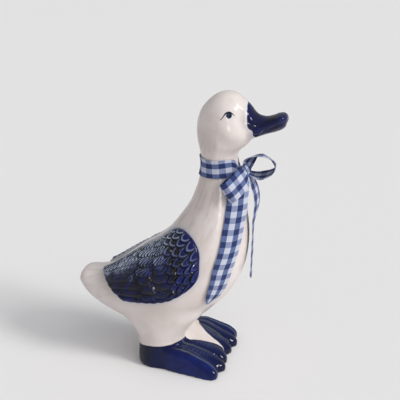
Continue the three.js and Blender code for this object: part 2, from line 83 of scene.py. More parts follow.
def addLights(setup):
    world = bpy.data.worlds.new("paleRoom")
    world.use_nodes = True
    background = world.node_tree.nodes["Background"]
    background.inputs["Color"].default_value = setup["worldColour"]
    background.inputs["Strength"].default_value = setup["worldStrength"]
    scene.world = world
    for name, spec in setup["lamps"].items():
        lamp = bpy.data.objects.new(name, bpy.data.lights.new(name, spec["kind"]))
        lamp.data.energy = spec["power"]
        lamp.data.color = setup["lampColour"]
        lamp.visible_glossy = spec["glossy"]
        lamp.visible_diffuse = spec["diffuse"]
        if spec["kind"] == "SUN":
            lamp.data.angle = math.radians(spec["angle"])
        else:
            lamp.data.shape = "RECTANGLE"
            lamp.data.size, lamp.data.size_y = spec["size"]
            lamp.data.spread = math.radians(spec["spread"])
        standBack(lamp, spec, spec["away"], spec["at"])


def addFloor(setup):
    bpy.ops.object.select_all(action="DESELECT")
    bpy.ops.mesh.primitive_plane_add(size=setup["size"])
    floor = bpy.context.object
    floor.name = "floor"
    material = bpy.data.materials.new("paleFloor")
    material.use_nodes = True
    surface = material.node_tree.nodes["Principled BSDF"]
    surface.inputs["Base Color"].default_value = setup["colour"]
    surface.inputs["Roughness"].default_value = setup["roughness"]
    floor.data.materials.append(material)


addCamera(cameraSetup)
addLights(lightSetup)
addFloor(floorSetup)
scene.view_settings.view_transform = "Standard"
print("camera, light and floor are in place")

# numbers and curves

def smoothStep(value, low, high):
    t = np.clip((value - low) / (high - low), 0, 1)
    return t * t * (3 - 2 * t)


def bell(share):
    return np.exp(-(share**2))


def roundedEdge(share):
    # rises from 0 to 1 like a quarter of a circle
    return np.sqrt(1 - (1 - np.clip(share, 0, 1)) ** 2)


def scatter(number):
    # an even spread of shares from 0 to 1, the same in each run
    return (np.sin(number) * 43758.5453) % 1


def unit(vectors):
    return vectors / np.linalg.norm(vectors, axis=-1, keepdims=True)


def travelled(points):
    # how far each point lies along the line through all of them
    return np.concatenate([[0], np.cumsum(np.linalg.norm(np.diff(points, axis=0), axis=1))])


def curveThrough(knots, rows):
    # smooth values between the given rows of numbers
    knots, rows = np.array(knots, float), np.array(rows, float)
    steps = np.diff(knots)
    slopes = np.diff(rows, axis=0) / steps[:, None]
    tangents = np.empty_like(rows)
    tangents[0], tangents[-1] = slopes[0], slopes[-1]
    tangents[1:-1] = slopes[:-1] * steps[1:, None] + slopes[1:] * steps[:-1, None]
    tangents[1:-1] /= (steps[:-1] + steps[1:])[:, None]

    def values(place):
        place = np.clip(np.asarray(place, float), knots[0], knots[-1])
        i = np.clip(np.searchsorted(knots, place, side="right") - 1, 0, len(steps) - 1)
        s = ((place - knots[i]) / steps[i])[..., None]
        step = steps[i][..., None]
        ends = (2 * s**3 - 3 * s**2 + 1) * rows[i] + (3 * s**2 - 2 * s**3) * rows[i + 1]
        return ends + step * ((s**3 - 2 * s**2 + s) * tangents[i] + (s**3 - s**2) * tangents[i + 1])

    return values


def curveOf(stations):
    # each station is a place and the values there
    return curveThrough([s[0] for s in stations], [s[1:] for s in stations])


def lineOf(points):
    # a smooth line through pairs of a place and a height
    curve = curveOf(points)
    return lambda place: curve(place)[..., 0]


def ringShape(stations):
    # stations: name, point on the back, point on the front, half width, egg, distance to the side
    rows = np.array([[*s[1], *s[2], *s[3:]] for s in stations], float)
    knots = travelled((rows[:, 0:2] + rows[:, 2:4]) / 2)
    values = curveThrough(knots, rows)

    def point(place, turn):
        backX, backZ, frontX, frontZ, half, egg, side = np.moveaxis(values(place), -1, 0)
        c, s = np.cos(turn), np.sin(turn)
        x = (backX + frontX) / 2 + (backX - frontX) / 2 * c
        z = (backZ + frontZ) / 2 + (backZ - frontZ) / 2 * c
        return np.stack([x, -side - half * s * (1 - egg * c), z], axis=-1)

    return {"knots": knots, "values": values, "point": point}


def lifted(shape, place, turn, lift):
    # a point raised off the rings' surface along its normal
    small = 0.01
    along = shape["point"](place + small, turn) - shape["point"](place - small, turn)
    around = shape["point"](place, turn + small) - shape["point"](place, turn - small)
    normal = unit(np.cross(around, along))
    return shape["point"](place, turn) + normal * np.asarray(lift, float)[..., None]


# modelling steps

def readNumbers(things, key, width=1, kind=float):
    # one value or one row of values of each point, face or corner
    numbers = np.empty(len(things) * width, kind)
    things.foreach_get(key, numbers)
    return numbers.reshape(-1, width) if width > 1 else numbers


def readPoints(piece):
    # in millimetres, like all sizes of the pieces
    return readNumbers(piece.data.vertices, "co", 3) / mm


def writePoints(piece, points):
    piece.data.vertices.foreach_set("co", (np.asarray(points) * mm).ravel())
    piece.data.update()


def readAttribute(piece, name):
    return readNumbers(piece.data.attributes[name].data, "value")


def setAttribute(piece, name, values):
    attribute = piece.data.attributes.new(name, "FLOAT", "POINT")
    attribute.data.foreach_set("value", np.asarray(values, float))


def selectOnly(piece):
    bpy.ops.object.select_all(action="DESELECT")
    piece.select_set(True)
    bpy.context.view_layer.objects.active = piece


def startEdit():
    bpy.ops.object.mode_set(mode="EDIT")
    bpy.ops.mesh.select_all(action="SELECT")


def endEdit():
    # all faces are turned outwards first
    bpy.ops.mesh.select_all(action="SELECT")
    bpy.ops.mesh.normals_make_consistent(inside=False)
    bpy.ops.object.mode_set(mode="OBJECT")


def extrudeRings(name, stations, setup, mirrored=False):
    # a circle is extruded, turned and stretched from ring to ring, and its ends are filled
    shape = ringShape(stations)
    last = len(stations) - 1
    marks = np.linspace(0, last, last * setup["steps"] + 1)
    rings = shape["values"](np.interp(marks, range(last + 1), shape["knots"]))
    flip = -1 if mirrored else 1
    middles = (rings[:, 0:2] + rings[:, 2:4]) / 2
    reaches = (rings[:, 2:4] - rings[:, 0:2]) / 2
    leans = np.unwrap(np.arctan2(reaches[:, 1], reaches[:, 0]))
    bpy.ops.object.select_all(action="DESELECT")
    bpy.ops.mesh.primitive_circle_add(vertices=setup["segments"], radius=mm)
    piece = bpy.context.object
    piece.name = name
    startEdit()
    was = {"at": Vector(), "lean": 0, "reach": 1, "half": 1}
    for middle, reach, lean, ring in zip(middles, reaches, leans, rings):
        now = {"at": Vector((middle[0], -flip * ring[6], middle[1])) * mm, "lean": lean,
               "reach": math.hypot(*reach), "half": ring[4]}
        if was["at"].length > 0:
            bpy.ops.mesh.extrude_edges_move(TRANSFORM_OT_translate={"value": now["at"] - was["at"]})
        else:
            bpy.ops.transform.translate(value=now["at"])
        bpy.ops.transform.rotate(
            value=now["lean"] - was["lean"], orient_axis="Y", center_override=now["at"])
        bpy.ops.transform.resize(
            value=(now["reach"] / was["reach"], now["half"] / was["half"], 1), center_override=now["at"],
            orient_type="GLOBAL", orient_matrix_type="GLOBAL", orient_matrix=Matrix.Rotation(-lean, 3, "Y"))
        was = now
    bpy.ops.mesh.select_all(action="SELECT")
    bpy.ops.mesh.fill_holes(sides=0)
    endEdit()
    # the widest part of each ring moves toward the back or the front
    points = readPoints(piece)
    which = np.arange(len(points)) // setup["segments"]
    toBack = -np.einsum("ij,ij->i", points[:, [0, 2]] - middles[which], reaches[which])
    toBack /= np.einsum("ij,ij->i", reaches[which], reaches[which])
    aside = -flip * rings[which, 6]
    points[:, 1] = aside + (points[:, 1] - aside) * (1 - rings[which, 5] * toBack)
    writePoints(piece, points)
    return piece


def gridPiece(name, rows, columns, placeAt):
    # a flat grid whose points go where placeAt(row, column) says
    bpy.ops.object.select_all(action="DESELECT")
    bpy.ops.mesh.primitive_grid_add(x_subdivisions=rows, y_subdivisions=columns, size=1)
    piece = bpy.context.object
    piece.name = name
    flat = readPoints(piece) * mm + 0.5
    row, column = np.rint(flat[:, 0] * rows).astype(int), np.rint(flat[:, 1] * columns).astype(int)
    writePoints(piece, placeAt(row, column))
    return piece, row, column


def standOnFloor(piece):
    # the surface is extruded and its copy is flattened on the floor
    startEdit()
    bpy.ops.mesh.extrude_region_move()
    bpy.ops.transform.resize(value=(1, 1, 0), center_override=(0, 0, 0))
    endEdit()
    return piece


def joined(name, pieces):
    bpy.ops.object.select_all(action="DESELECT")
    for piece in pieces:
        piece.select_set(True)
    bpy.context.view_layer.objects.active = pieces[0]
    bpy.ops.object.join()
    pieces[0].name = name
    return pieces[0]


def finishWith(piece, kind, **settings):
    bpy.context.view_layer.objects.active = piece
    modifier = piece.modifiers.new(kind.lower(), kind)
    for key, value in settings.items():
        setattr(modifier, key, value)
    bpy.ops.object.modifier_apply(modifier=modifier.name)


# body, neck and head

duckBody = {
    "stations": [
        ("tail end", (-69.6, 55.6), (-70.3, 52.8), 4.5, 0, 0),
        ("tail rim", (-68.6, 57.6), (-69.7, 50.2), 9.0, 0, 0),
        ("tail lip", (-66.0, 59.2), (-67.4, 46.4), 12.6, 0, 0),
        ("tail", (-59.0, 59.8), (-61.5, 40.2), 17.0, 0, 0),
        ("tail root", (-49.5, 62.0), (-50.3, 33.4), 21.5, 0, 0),
        ("rump", (-36.5, 70.8), (-35.0, 27.3), 27.0, 0.05, 0),
        ("saddle", (-23.5, 80.6), (-13.5, 24.2), 30.5, 0.08, 0),
        ("back", (-12.5, 87.8), (9.0, 28.0), 31.0, 0.08, 0),
        ("shoulder", (-4.5, 95.4), (26.0, 40.5), 30.0, 0.06, 0),
        ("breast", (2.3, 104.2), (37.8, 54.5), 27.5, 0.05, 0),
        ("chest", (7.7, 112.2), (45.4, 72.6), 24.0, 0.05, 0),
        ("throat", (10.8, 119.2), (47.5, 91.5), 20.3, 0.03, 0),
        ("neck root", (13.6, 127.4), (45.6, 109.8), 17.0, 0, 0),
        ("low neck", (15.3, 135.4), (42.2, 124.4), 14.4, 0, 0),
        ("neck", (15.7, 142.0), (39.6, 138.0), 13.0, 0, 0),
        ("neck top", (14.3, 148.8), (40.0, 148.0), 13.0, 0, 0),
        ("jaw", (13.0, 155.0), (46.0, 153.3), 14.6, 0, 0),
        ("cheek", (12.4, 161.4), (48.8, 159.0), 16.0, 0.04, 0),
        ("eye", (13.0, 168.0), (47.6, 166.4), 16.3, 0.06, 0),
        ("brow", (14.8, 173.8), (45.8, 173.4), 15.4, 0.06, 0),
        ("forehead", (18.0, 178.8), (44.6, 179.0), 13.2, 0.03, 0),
        ("crown", (22.4, 183.0), (42.0, 183.2), 9.8, -0.02, 0),
        ("top", (27.8, 186.2), (37.6, 186.3), 5.2, 0, 0),
        ("peak", (31.4, 187.2), (34.4, 187.2), 1.6, 0, 0),
    ],
    "segments": 64, "steps": 4,
}
duckBill = {
    "upper": [
        ("root", (43.0, 183.0), (44.5, 159.6), 10.4, 0.25, 0),
        ("face", (47.3, 178.8), (48.8, 160.8), 10.0, 0.25, 0),
        ("slope", (51.0, 173.9), (52.6, 162.5), 9.1, 0.25, 0),
        ("waist", (56.4, 171.9), (57.0, 164.0), 8.4, 0.2, 0),
        ("spoon", (61.8, 172.9), (62.6, 166.2), 8.4, 0, 0),
        ("nail", (66.6, 174.6), (67.8, 168.2), 7.8, -0.1, 0),
        ("tip", (69.8, 174.0), (70.6, 168.4), 6.0, -0.1, 0),
        ("end", (71.1, 172.6), (71.3, 169.6), 4.0, 0, 0),
    ],
    "lower": [
        ("root", (42.0, 170.0), (46.0, 155.8), 10.0, -0.2, 0),
        ("corner", (49.0, 169.0), (51.2, 157.8), 9.3, -0.2, 0),
        ("middle", (56.0, 169.6), (57.8, 160.4), 7.9, -0.3, 0),
        ("front", (62.0, 170.6), (63.6, 162.2), 7.8, -0.3, 0),
        ("tip", (66.8, 171.6), (68.6, 164.6), 6.8, -0.3, 0),
        ("end", (69.4, 171.4), (70.4, 166.6), 4.6, 0, 0),
    ],
    "segments": 40, "steps": 5,
}
duckLegs = {
    "stations": [
        ("ground", (-24.9, 0), (5.0, 0), 13.2, 0, 14.8),
        ("heel", (-25.1, 6), (5.6, 7), 12.9, 0, 14.8),
        ("ankle", (-24.9, 12.5), (6.4, 14.5), 11.8, 0, 14.6),
        ("shank", (-25.7, 19), (7.4, 21.5), 12.3, 0, 14.2),
        ("knee", (-30.4, 26), (11.4, 28), 13.9, 0, 13.5),
        ("thigh", (-37.5, 34), (18.6, 36), 15.9, 0, 12.5),
        ("hip", (-38.5, 44), (20.0, 46), 17.3, 0, 12.3),
        ("waist", (-34.0, 56), (16.0, 58), 17.6, 0, 12.6),
    ],
    "segments": 48, "steps": 4,
}
duckFeet = {
    "backX": -15, "height": 15.8, "slopeStart": 20.8, "slopeFall": 0.4,
    "outerEdge": [(-15, 22.8), (-8, 26.4), (0, 29.4), (13, 32.4), (23, 34.6), (29, 35.8), (36, 36.4)],
    "innerEdge": [(-15, 9), (0, 7), (8, 7), (20, 3), (28, 1.2), (36, 1.4)],
    "sideLow": 0.3, "sideReach": 0.14,
    "toeTips": (34.0, 36.8, 35.2), "toeTaper": 2.4, "notch": 31.2, "toeRadius": 7, "toeLip": 3.4,
    # how deep the webs sink, and from where to where they do
    "webs": [(0.9, 0, 14), (2.6, 16, 34)], "webTaper": 3,
    "rows": 60, "columns": 54, "rowSpacing": 1.3,
}
duckApron = {
    "stations": [(-19, 20, 8), (-12, 33, 10), (-4, 31, 12), (1, 25.5, 14), (5, 20.6, 15), (10, 16.8, 14.5),
                 (16, 13.8, 9.5), (22, 11.5, 5.5), (28, 9, 3), (31, 7, 2)],
    "rounding": 1.2, "rows": 50, "columns": 24,
}
duckSkin = {
    "voxel": 1.25, "smoothing": 5, "bellySmoothing": 36, "carvedSmoothing": 2, "floorGap": 0.35,
    # the toes and the bill keep this share of their edges
    "toesKept": 0.3, "toesFrom": (-4, 12), "toesUpTo": (14, 22),
    "billKept": 0.8, "billFrom": (47, 52), "billAbove": (152, 156),
    "bellyFrom": (-50, -38), "bellyAbove": (20, 30), "bellyUpTo": (58, 72),
    "bellyFront": (12, 22), "bellyFrontAbove": (26, 36),
    # finer faces on the front of the head, on the feet and beside the creases of the rolled bill
    "headX": 44, "headZ": 152, "footX": 2, "footY": 9, "footZ": (0.4, 19),
    "creaseAt": 0.6, "creaseWidth": 0.4, "creaseReach": (1.0, 0.5), "rollFullness": 0.9,
}
trunk = ringShape(duckBody["stations"])


def makeFoot(setup, side):
    outer, inner = lineOf(setup["outerEdge"]), lineOf(setup["innerEdge"])
    tips = np.array(setup["toeTips"])

    def placeAt(row, column):
        share = 1 - (1 - row / setup["rows"]) ** setup["rowSpacing"]
        across = column / setup["columns"]
        phase = np.minimum(across, 0.9999) * len(tips)
        fromMiddle = 2 * np.abs(phase % 1 - 0.5)
        tip = tips[phase.astype(int)]
        tip = tip + (setup["notch"] - tip) * fromMiddle ** setup["toeTaper"]
        x = setup["backX"] + (tip - setup["backX"]) * share
        y = -(outer(x) + (inner(x) - outer(x)) * across)
        front = roundedEdge((tip - x) / setup["toeRadius"])
        flat = np.minimum(setup["height"], setup["slopeStart"] - setup["slopeFall"] * x)
        crest = setup["toeLip"] + (flat - setup["toeLip"]) * front
        shoulder = setup["sideLow"] + (1 - setup["sideLow"]) * roundedEdge(across / setup["sideReach"])
        hollow = sum(depth * smoothStep(x, start, end) for depth, start, end in setup["webs"])
        valley = hollow * fromMiddle ** setup["webTaper"] * front
        return np.stack([x, y * side, crest * shoulder - valley], axis=-1)

    return standOnFloor(gridPiece("foot", setup["rows"], setup["columns"], placeAt)[0])


def makeApron(setup):
    profile = curveOf(setup["stations"])
    first, last = setup["stations"][0][0], setup["stations"][-1][0]

    def placeAt(row, column):
        x = first + (last - first) * row / setup["rows"]
        across = 2 * column / setup["columns"] - 1
        top, half = profile(x).T
        return np.stack([x, across * half, top - setup["rounding"] * across**4], axis=-1)

    return standOnFloor(gridPiece("apron", setup["rows"], setup["columns"], placeAt)[0])


def makeSkin():
    pieces = [extrudeRings("body", duckBody["stations"], duckBody)]
    for half in ("upper", "lower"):
        pieces.append(extrudeRings("bill", duckBill[half], duckBill))
    for mirrored in (False, True):
        pieces.append(extrudeRings("leg", duckLegs["stations"], duckLegs, mirrored))
        pieces.append(makeFoot(duckFeet, -1 if mirrored else 1))
    pieces.append(makeApron(duckApron))
    skin = joined("porcelainDuck", pieces)
    finishWith(skin, "REMESH", mode="VOXEL", voxel_size=duckSkin["voxel"] * mm)
    return skin


def weighPoints(piece, name, weights):
    # a vertex group in ten steps of weight
    group = piece.vertex_groups.new(name=name)
    for level in range(1, 11):
        chosen = np.nonzero(np.rint(weights * 10) == level)[0]
        if len(chosen):
            group.add(chosen.tolist(), level / 10, "REPLACE")


def softenSkin(skin, setup):
    # the joints between the cast forms melt into each other, the toes and the bill less so
    x, y, z = readPoints(skin).T
    toes = smoothStep(x, *setup["toesFrom"]) * (1 - smoothStep(z, *setup["toesUpTo"]))
    bill = smoothStep(x, *setup["billFrom"]) * smoothStep(z, *setup["billAbove"])
    weighPoints(skin, "soft", 1 - setup["toesKept"] * toes - setup["billKept"] * bill)
    finishWith(skin, "SMOOTH", factor=0.5, iterations=setup["smoothing"], vertex_group="soft")
    x, y, z = readPoints(skin).T
    belly = smoothStep(z, *setup["bellyAbove"]) * (1 - smoothStep(z, *setup["bellyUpTo"]))
    belly *= smoothStep(x, *setup["bellyFrom"])
    belly *= 1 - smoothStep(x, *setup["bellyFront"]) * (1 - smoothStep(z, *setup["bellyFrontAbove"]))
    weighPoints(skin, "belly", belly)
    finishWith(skin, "SMOOTH", factor=0.5, iterations=setup["bellySmoothing"], vertex_group="belly")
    points = readPoints(skin)
    points[:, 2] = np.where(points[:, 2] < setup["floorGap"], 0, points[:, 2])
    writePoints(skin, points)


def subdivideWhere(piece, chosen):
    # faces whose points are all chosen are divided once
    selectOnly(piece)
    corners = readNumbers(piece.data.loops, "vertex_index", kind=int)
    starts = readNumbers(piece.data.polygons, "loop_start", kind=int)
    bpy.ops.object.mode_set(mode="EDIT")
    bpy.ops.mesh.select_mode(type="FACE")
    bpy.ops.mesh.select_all(action="DESELECT")
    bpy.ops.object.mode_set(mode="OBJECT")
    piece.data.polygons.foreach_set("select", np.logical_and.reduceat(chosen[corners], starts))
    bpy.ops.object.mode_set(mode="EDIT")
    bpy.ops.mesh.subdivide(number_cuts=1, smoothness=1.0)
    bpy.ops.mesh.select_mode(type="VERT")
    bpy.ops.object.mode_set(mode="OBJECT")


def awayFrom(points, line):
    # the distance to a line of points that is drawn on both sides
    at = np.stack([points[:, 0], np.abs(points[:, 1]), points[:, 2]], axis=-1)
    least = np.full(len(at), np.inf)
    for start, end in zip(np.array(line[:-1], float), np.array(line[1:], float)):
        along = end - start
        share = np.clip((at - start) @ along / (along @ along), 0, 1)
        least = np.minimum(least, np.linalg.norm(at - start - share[:, None] * along, axis=1))
    return least


# ridges, and grooves where the height is below zero: points, width and height
headCarving = {
    "brow": ([(37.5, 8.6, 182.6), (41.5, 8.8, 179.8), (45.0, 8.0, 175.4)], 1.5, 0.55),
    "face edge": ([(45.4, 9.4, 173), (45.5, 10, 167)], 1.2, 0.3),
    "eye hollow": ([(33, 15, 170.6), (41, 11.5, 171.2)], 2.4, -0.4),
    "upper lid": ([(30, 16, 176.6), (35, 13.8, 178.4), (40, 11.6, 177)], 1.7, 0.3),
    "cheek": ([(36, 13.8, 162.0), (43, 10.6, 164.0)], 3.6, 0.6),
    "under cheek": ([(28.2, 16.2, 168), (27.6, 16.1, 163.4), (30.0, 15.8, 159.2), (32.9, 14.6, 155.8),
                     (36.6, 13.1, 154.4), (40.2, 11.2, 154.2), (43.6, 8.4, 155.4)], 3.2, -0.4),
    "nape": ([(23.6, 15, 163), (22.2, 13.4, 155), (20.6, 12.4, 150)], 1.8, -0.45),
    "mouth": ([(57.2, 8.2, 163.4), (61.4, 8.0, 165.6), (66.2, 6.8, 168.8)], 1.0, -0.6),
}
# rolled edge of the bill: a knob at the corner of the mouth, a round rod and a second knob near the tip
billRoll = {
    "lobe": ([(53.2, 8.6, 163.8), (53.9, 8.5, 164.2)], 3.1, 1.2),
    "rod": ([(55.0, 8.2, 165.2), (59.7, 7.9, 167.4), (64.6, 8.2, 169.8), (66.4, 7.8, 171.0)], 1.7, 0.7),
    "nail": ([(66.6, 7.6, 171.3), (67.6, 7.2, 172.0)], 2.5, 0.7),
}
toeGrooves = {
    "outer": [(6, 25.6), (12, 27.3), (16, 27.7), (20, 28.0), (24, 28.3), (28, 28.9), (33, 29.6)],
    "inner": [(6, 17.2), (12, 16.1), (16, 15.7), (20, 15.0), (24, 14.0), (28, 13.3), (33, 12.7)],
    "width": 0.9, "depth": 0.9, "from": (6, 13), "heights": (2, 22), "lean": 0.5, "upward": (0.1, 0.4),
}


def refineSkin(skin, setup):
    x, y, z = readPoints(skin).T
    low, high = setup["footZ"]
    head = (x > setup["headX"]) & (z > setup["headZ"])
    foot = (x > setup["footX"]) & (z < high) & (z > low) & (np.abs(y) > setup["footY"])
    subdivideWhere(skin, head | foot)
    for reach in setup["creaseReach"]:
        points = readPoints(skin)
        fine = np.zeros(len(points), bool)
        for line, width, _ in billRoll.values():
            aside = np.abs(awayFrom(points, line) - width * setup["creaseAt"])
            fine |= aside < width * setup["creaseWidth"] + reach
        subdivideWhere(skin, fine)


def carveSkin(skin, setup):
    points, normals = readPoints(skin), readNumbers(skin.data.vertices, "normal", 3)
    x, y, z = points.T
    lift = np.zeros(len(points))
    for line, width, height in headCarving.values():
        lift += height * bell(awayFrom(points, line) / width)
    rolled = np.zeros(len(points))
    for line, width, height in billRoll.values():
        share = awayFrom(points, line) / width
        rolled = np.maximum(rolled, height * np.clip(1 - share**2, 0, 1) ** setup["rollFullness"])
    setAttribute(skin, "rolled", rolled)
    lift += rolled
    low, high = toeGrooves["heights"]
    onTop = smoothStep(x, *toeGrooves["from"]) * (z > low) * (z < high)
    onTop *= smoothStep(normals[:, 2] + normals[:, 0] * toeGrooves["lean"], *toeGrooves["upward"])
    for edge in ("outer", "inner"):
        away = np.abs(np.abs(y) - lineOf(toeGrooves[edge])(x))
        lift -= toeGrooves["depth"] * bell(away / toeGrooves["width"]) * onTop
    writePoints(skin, points + normals * lift[:, None])
    finishWith(skin, "SMOOTH", factor=0.5, iterations=setup["carvedSmoothing"])


skin = makeSkin()
print("body, bill, legs and feet are one skin of", len(skin.data.vertices), "points")
softenSkin(skin, duckSkin)
refineSkin(skin, duckSkin)
carveSkin(skin, duckSkin)
print("skin softened and carved")

# wings

duckWing = {
    "front": [(0.0, 92.5, 24), (0.18, 102.5, 44), (0.36, 107.0, 64), (0.54, 106.5, 81), (0.72, 101.5, 92),
              (0.88, 94.5, 102), (1.0, 85.0, 103)],
    "rear": [(0.0, 17.5, 12), (0.25, 19.6, 28), (0.5, 24.2, 51), (0.75, 30.8, 74), (1.0, 41.0, 94)],
    "length": 62, "width": 45, "topSag": 6, "rowLean": 0.3,
    "farDrop": 5, "farDropFrom": (0.1, 0.6), "ragged": 0.8, "raggedWaves": 8.5, "raggedFrom": (0.8, 1),
    "thickness": 2.0, "topThickness": 0.7, "topThin": 0.3, "sunk": 1.5,
    # the relief is this much flatter along the top and along the foot of the wing
    "topFlat": 0.55, "topFlatTo": (0, 0.2), "footFlat": 0.7, "footFlatFrom": (0.9, 1),
    # rows of feathers from the shoulder: start, height of their ends, feathers across, lines of points
    "rows": [(0.0, 0.9, 8, 13), (0.085, 1.2, 9, 13), (0.165, 1.2, 9, 13), (0.245, 1.25, 9, 13),
             (0.325, 1.25, 9, 24), (0.47, 1.25, 8, 26), (0.63, 1.1, 8, 58)],
    "firstLongRow": 4, "columns": 113, "scallop": 0.024, "endScallop": 0.014, "uneven": 0.012, "step": 0.0014,
    "rimRadius": 1.3, "rimLow": 0.15,
}
# shares of a feather's length or half width, and heights in millimetres
featherCut = {
    "smallRise": (0, 0.4), "longRise": (-0.1, 0.4), "longStart": 0.1, "unevenHeight": 0.4, "valley": 0.95,
    "barb": 0.2, "barbEnds": (0.02, 0.15), "barbSides": (0.85, 1),
    "barbSpacing": 2.3, "longSpacing": 1.95, "barbSlant": 3.8,
    "rim": 0.30, "rimAt": 0.74, "rimWidth": 0.16, "rimStart": (0.15, 0.5), "rimMiddle": 0.4,
    "shaft": 0.14, "shaftWidth": 0.09, "shaftStart": (0, 0.2),
    "smallSeam": 0.72, "longSeam": 0.82, "seamEnd": 0.98, "smallOpen": 0.32, "longOpen": 0.2,
}
wingValues = ("along", "across", "seam", "rim", "tone", "phase", "long")


def wingSurface(setup, side, along, across, lift):
    front, rear = curveOf(setup["front"])(across), curveOf(setup["rear"])(across)
    middle = 4 * along * (1 - along)
    leaned = along - setup["rowLean"] * np.clip(0.5 - across, 0, None) * middle
    sag = setup["topSag"] * middle * (1 - across) ** 2
    waves = np.abs(np.sin(along * np.pi * setup["raggedWaves"]))
    ragged = setup["ragged"] * waves * smoothStep(across, *setup["raggedFrom"]) * middle
    place = front[:, 0] + (rear[:, 0] - front[:, 0]) * leaned
    turn = front[:, 1] + (rear[:, 1] - front[:, 1]) * leaned - sag + ragged
    if side < 0:
        turn = turn + setup["farDrop"] * (1 - across) ** 3 * smoothStep(along, *setup["farDropFrom"])
    return lifted(trunk, place, np.radians(turn), lift) * (1, side, 1)


def featherAt(setup, row, across):
    # the distance from the middle of the feather, -1 to 1, and the feather's number
    count = np.array([r[2] for r in setup["rows"]])[np.clip(row, 0, len(setup["rows"]) - 1)]
    phase = across * count + (row % 2) / 2
    return 2 * (phase % 1 - 0.5), np.floor(phase)


def rowStart(setup, row, across):
    # the line along the wing where a row begins, scalloped by the feathers of the row before it
    starts = np.array([r[0] for r in setup["rows"]] + [1.0])
    last = len(setup["rows"])
    off, feather = featherAt(setup, row - 1, across)
    blunt = np.where(row > setup["firstLongRow"], off**4, off**2)
    uneven = setup["uneven"] * np.sin(feather * 2.4 + row * 1.7) * (row > 1)
    inside = starts[np.clip(row, 0, last)] + setup["scallop"] * (1 - 2 * blunt) + uneven
    return np.where(row == last, 1 - setup["endScallop"] * off**2, np.where(row == 0, 0, inside))


def featherRelief(setup, row, share, along, across, side):
    # every value that the carving and the paint of a wing need at the given places
    cut = featherCut
    off, feather = featherAt(setup, row, across)
    isLong = row >= setup["firstLongRow"]
    heights = np.array([r[1] for r in setup["rows"]])
    starts = np.array([r[0] for r in setup["rows"]] + [1.0])
    tone = scatter(feather * 12.9898 + row * 78.233 + side)
    spacing = np.where(row == len(heights) - 1, cut["longSpacing"], cut["barbSpacing"])
    travel = share * (starts[row + 1] - starts[row]) * setup["length"]
    phase = (travel - cut["barbSlant"] * off) / spacing + tone
    longRise = smoothStep(share, *cut["longRise"]) - cut["longStart"]
    rise = np.where(isLong, longRise, smoothStep(share, *cut["smallRise"]))
    uneven = 1 + cut["unevenHeight"] * (tone - 0.5)
    crown = (heights[row] * uneven - cut["valley"] * off**2) * rise
    # barbs run aslant over the long feathers, and the small ones have a raised rim
    inside = smoothStep(share, *cut["barbEnds"]) * (1 - smoothStep(np.abs(off), *cut["barbSides"]))
    barb = cut["barb"] * np.sin(2 * np.pi * phase) * inside
    beyond = np.clip(share - cut["rimMiddle"], 0, 1) / (1 - cut["rimMiddle"])
    rim = bell((np.hypot(off, beyond) - cut["rimAt"]) / cut["rimWidth"]) * smoothStep(share, *cut["rimStart"])
    rim = np.where(isLong, 0, rim)
    relief = np.where(isLong, barb, cut["rim"] * rim)
    shaft = cut["shaft"] * bell(off / cut["shaftWidth"]) * smoothStep(share, *cut["shaftStart"])
    # the seams between the feathers and the root of each feather under the row before it are marked for
    # darker paint: pooled glaze and painted shade
    gap = 1 - smoothStep(share, 0, np.where(isLong, cut["longOpen"], cut["smallOpen"]))
    sides = smoothStep(np.abs(off), np.where(isLong, cut["longSeam"], cut["smallSeam"]), cut["seamEnd"])
    return {
        "height": crown + relief + shaft, "along": along, "across": across, "tone": tone, "phase": phase,
        "seam": np.maximum(sides, np.where(row == 0, 0, gap)), "rim": rim, "long": isLong * inside,
    }


def makeWing(setup, side):
    rows = setup["rows"]
    lines = np.array([(row, share) for row, spec in enumerate(rows) for share in np.linspace(0, 1, spec[3])])
    last = len(rows) - 1
    values = {}

    def placeAt(line, column):
        row, share, across = lines[line, 0].astype(int), lines[line, 1], column / setup["columns"]
        start = rowStart(setup, row, across) + np.where(row == 0, 0, setup["step"])
        end = rowStart(setup, row + 1, across) - np.where(row == last, 0, setup["step"])
        along = start + (end - start) * share
        values.update(featherRelief(setup, row, share, along, across, side))
        fall = smoothStep(across, 0, setup["topThin"])
        thick = setup["topThickness"] + (setup["thickness"] - setup["topThickness"]) * fall
        high = values["height"] * (1 - setup["topFlat"] * (1 - smoothStep(across, *setup["topFlatTo"])))
        high *= 1 - setup["footFlat"] * smoothStep(across, *setup["footFlatFrom"])
        edge = np.minimum(np.minimum(across, 1 - across) * setup["width"],
                          np.minimum(along, 1 - along) * setup["length"])
        rim = setup["rimLow"] + (1 - setup["rimLow"]) * roundedEdge(edge / setup["rimRadius"])
        return wingSurface(setup, side, along, across, (thick + high) * rim)

    wing = gridPiece("wing", len(lines) - 1, setup["columns"], placeAt)[0]
    outside = len(wing.data.vertices)
    for name in wingValues:
        setAttribute(wing, name, values[name])
    # the rim is extruded into the body and closed there
    startEdit()
    bpy.ops.mesh.region_to_loop()
    bpy.ops.mesh.extrude_edges_move(TRANSFORM_OT_translate={"value": (0, 0, 0)})
    bpy.ops.mesh.edge_face_add()
    bpy.ops.object.mode_set(mode="OBJECT")
    along, across = readAttribute(wing, "along"), readAttribute(wing, "across")
    points = readPoints(wing)
    points[outside:] = wingSurface(setup, side, along, across, -setup["sunk"])[outside:]
    writePoints(wing, points)
    wing["rimPoints"] = len(points) - outside
    startEdit()
    endEdit()
    return wing


wings = [makeWing(duckWing, 1), makeWing(duckWing, -1)]
print("wings carved,", sum(len(w.data.vertices) for w in wings), "points")

# shader nodes

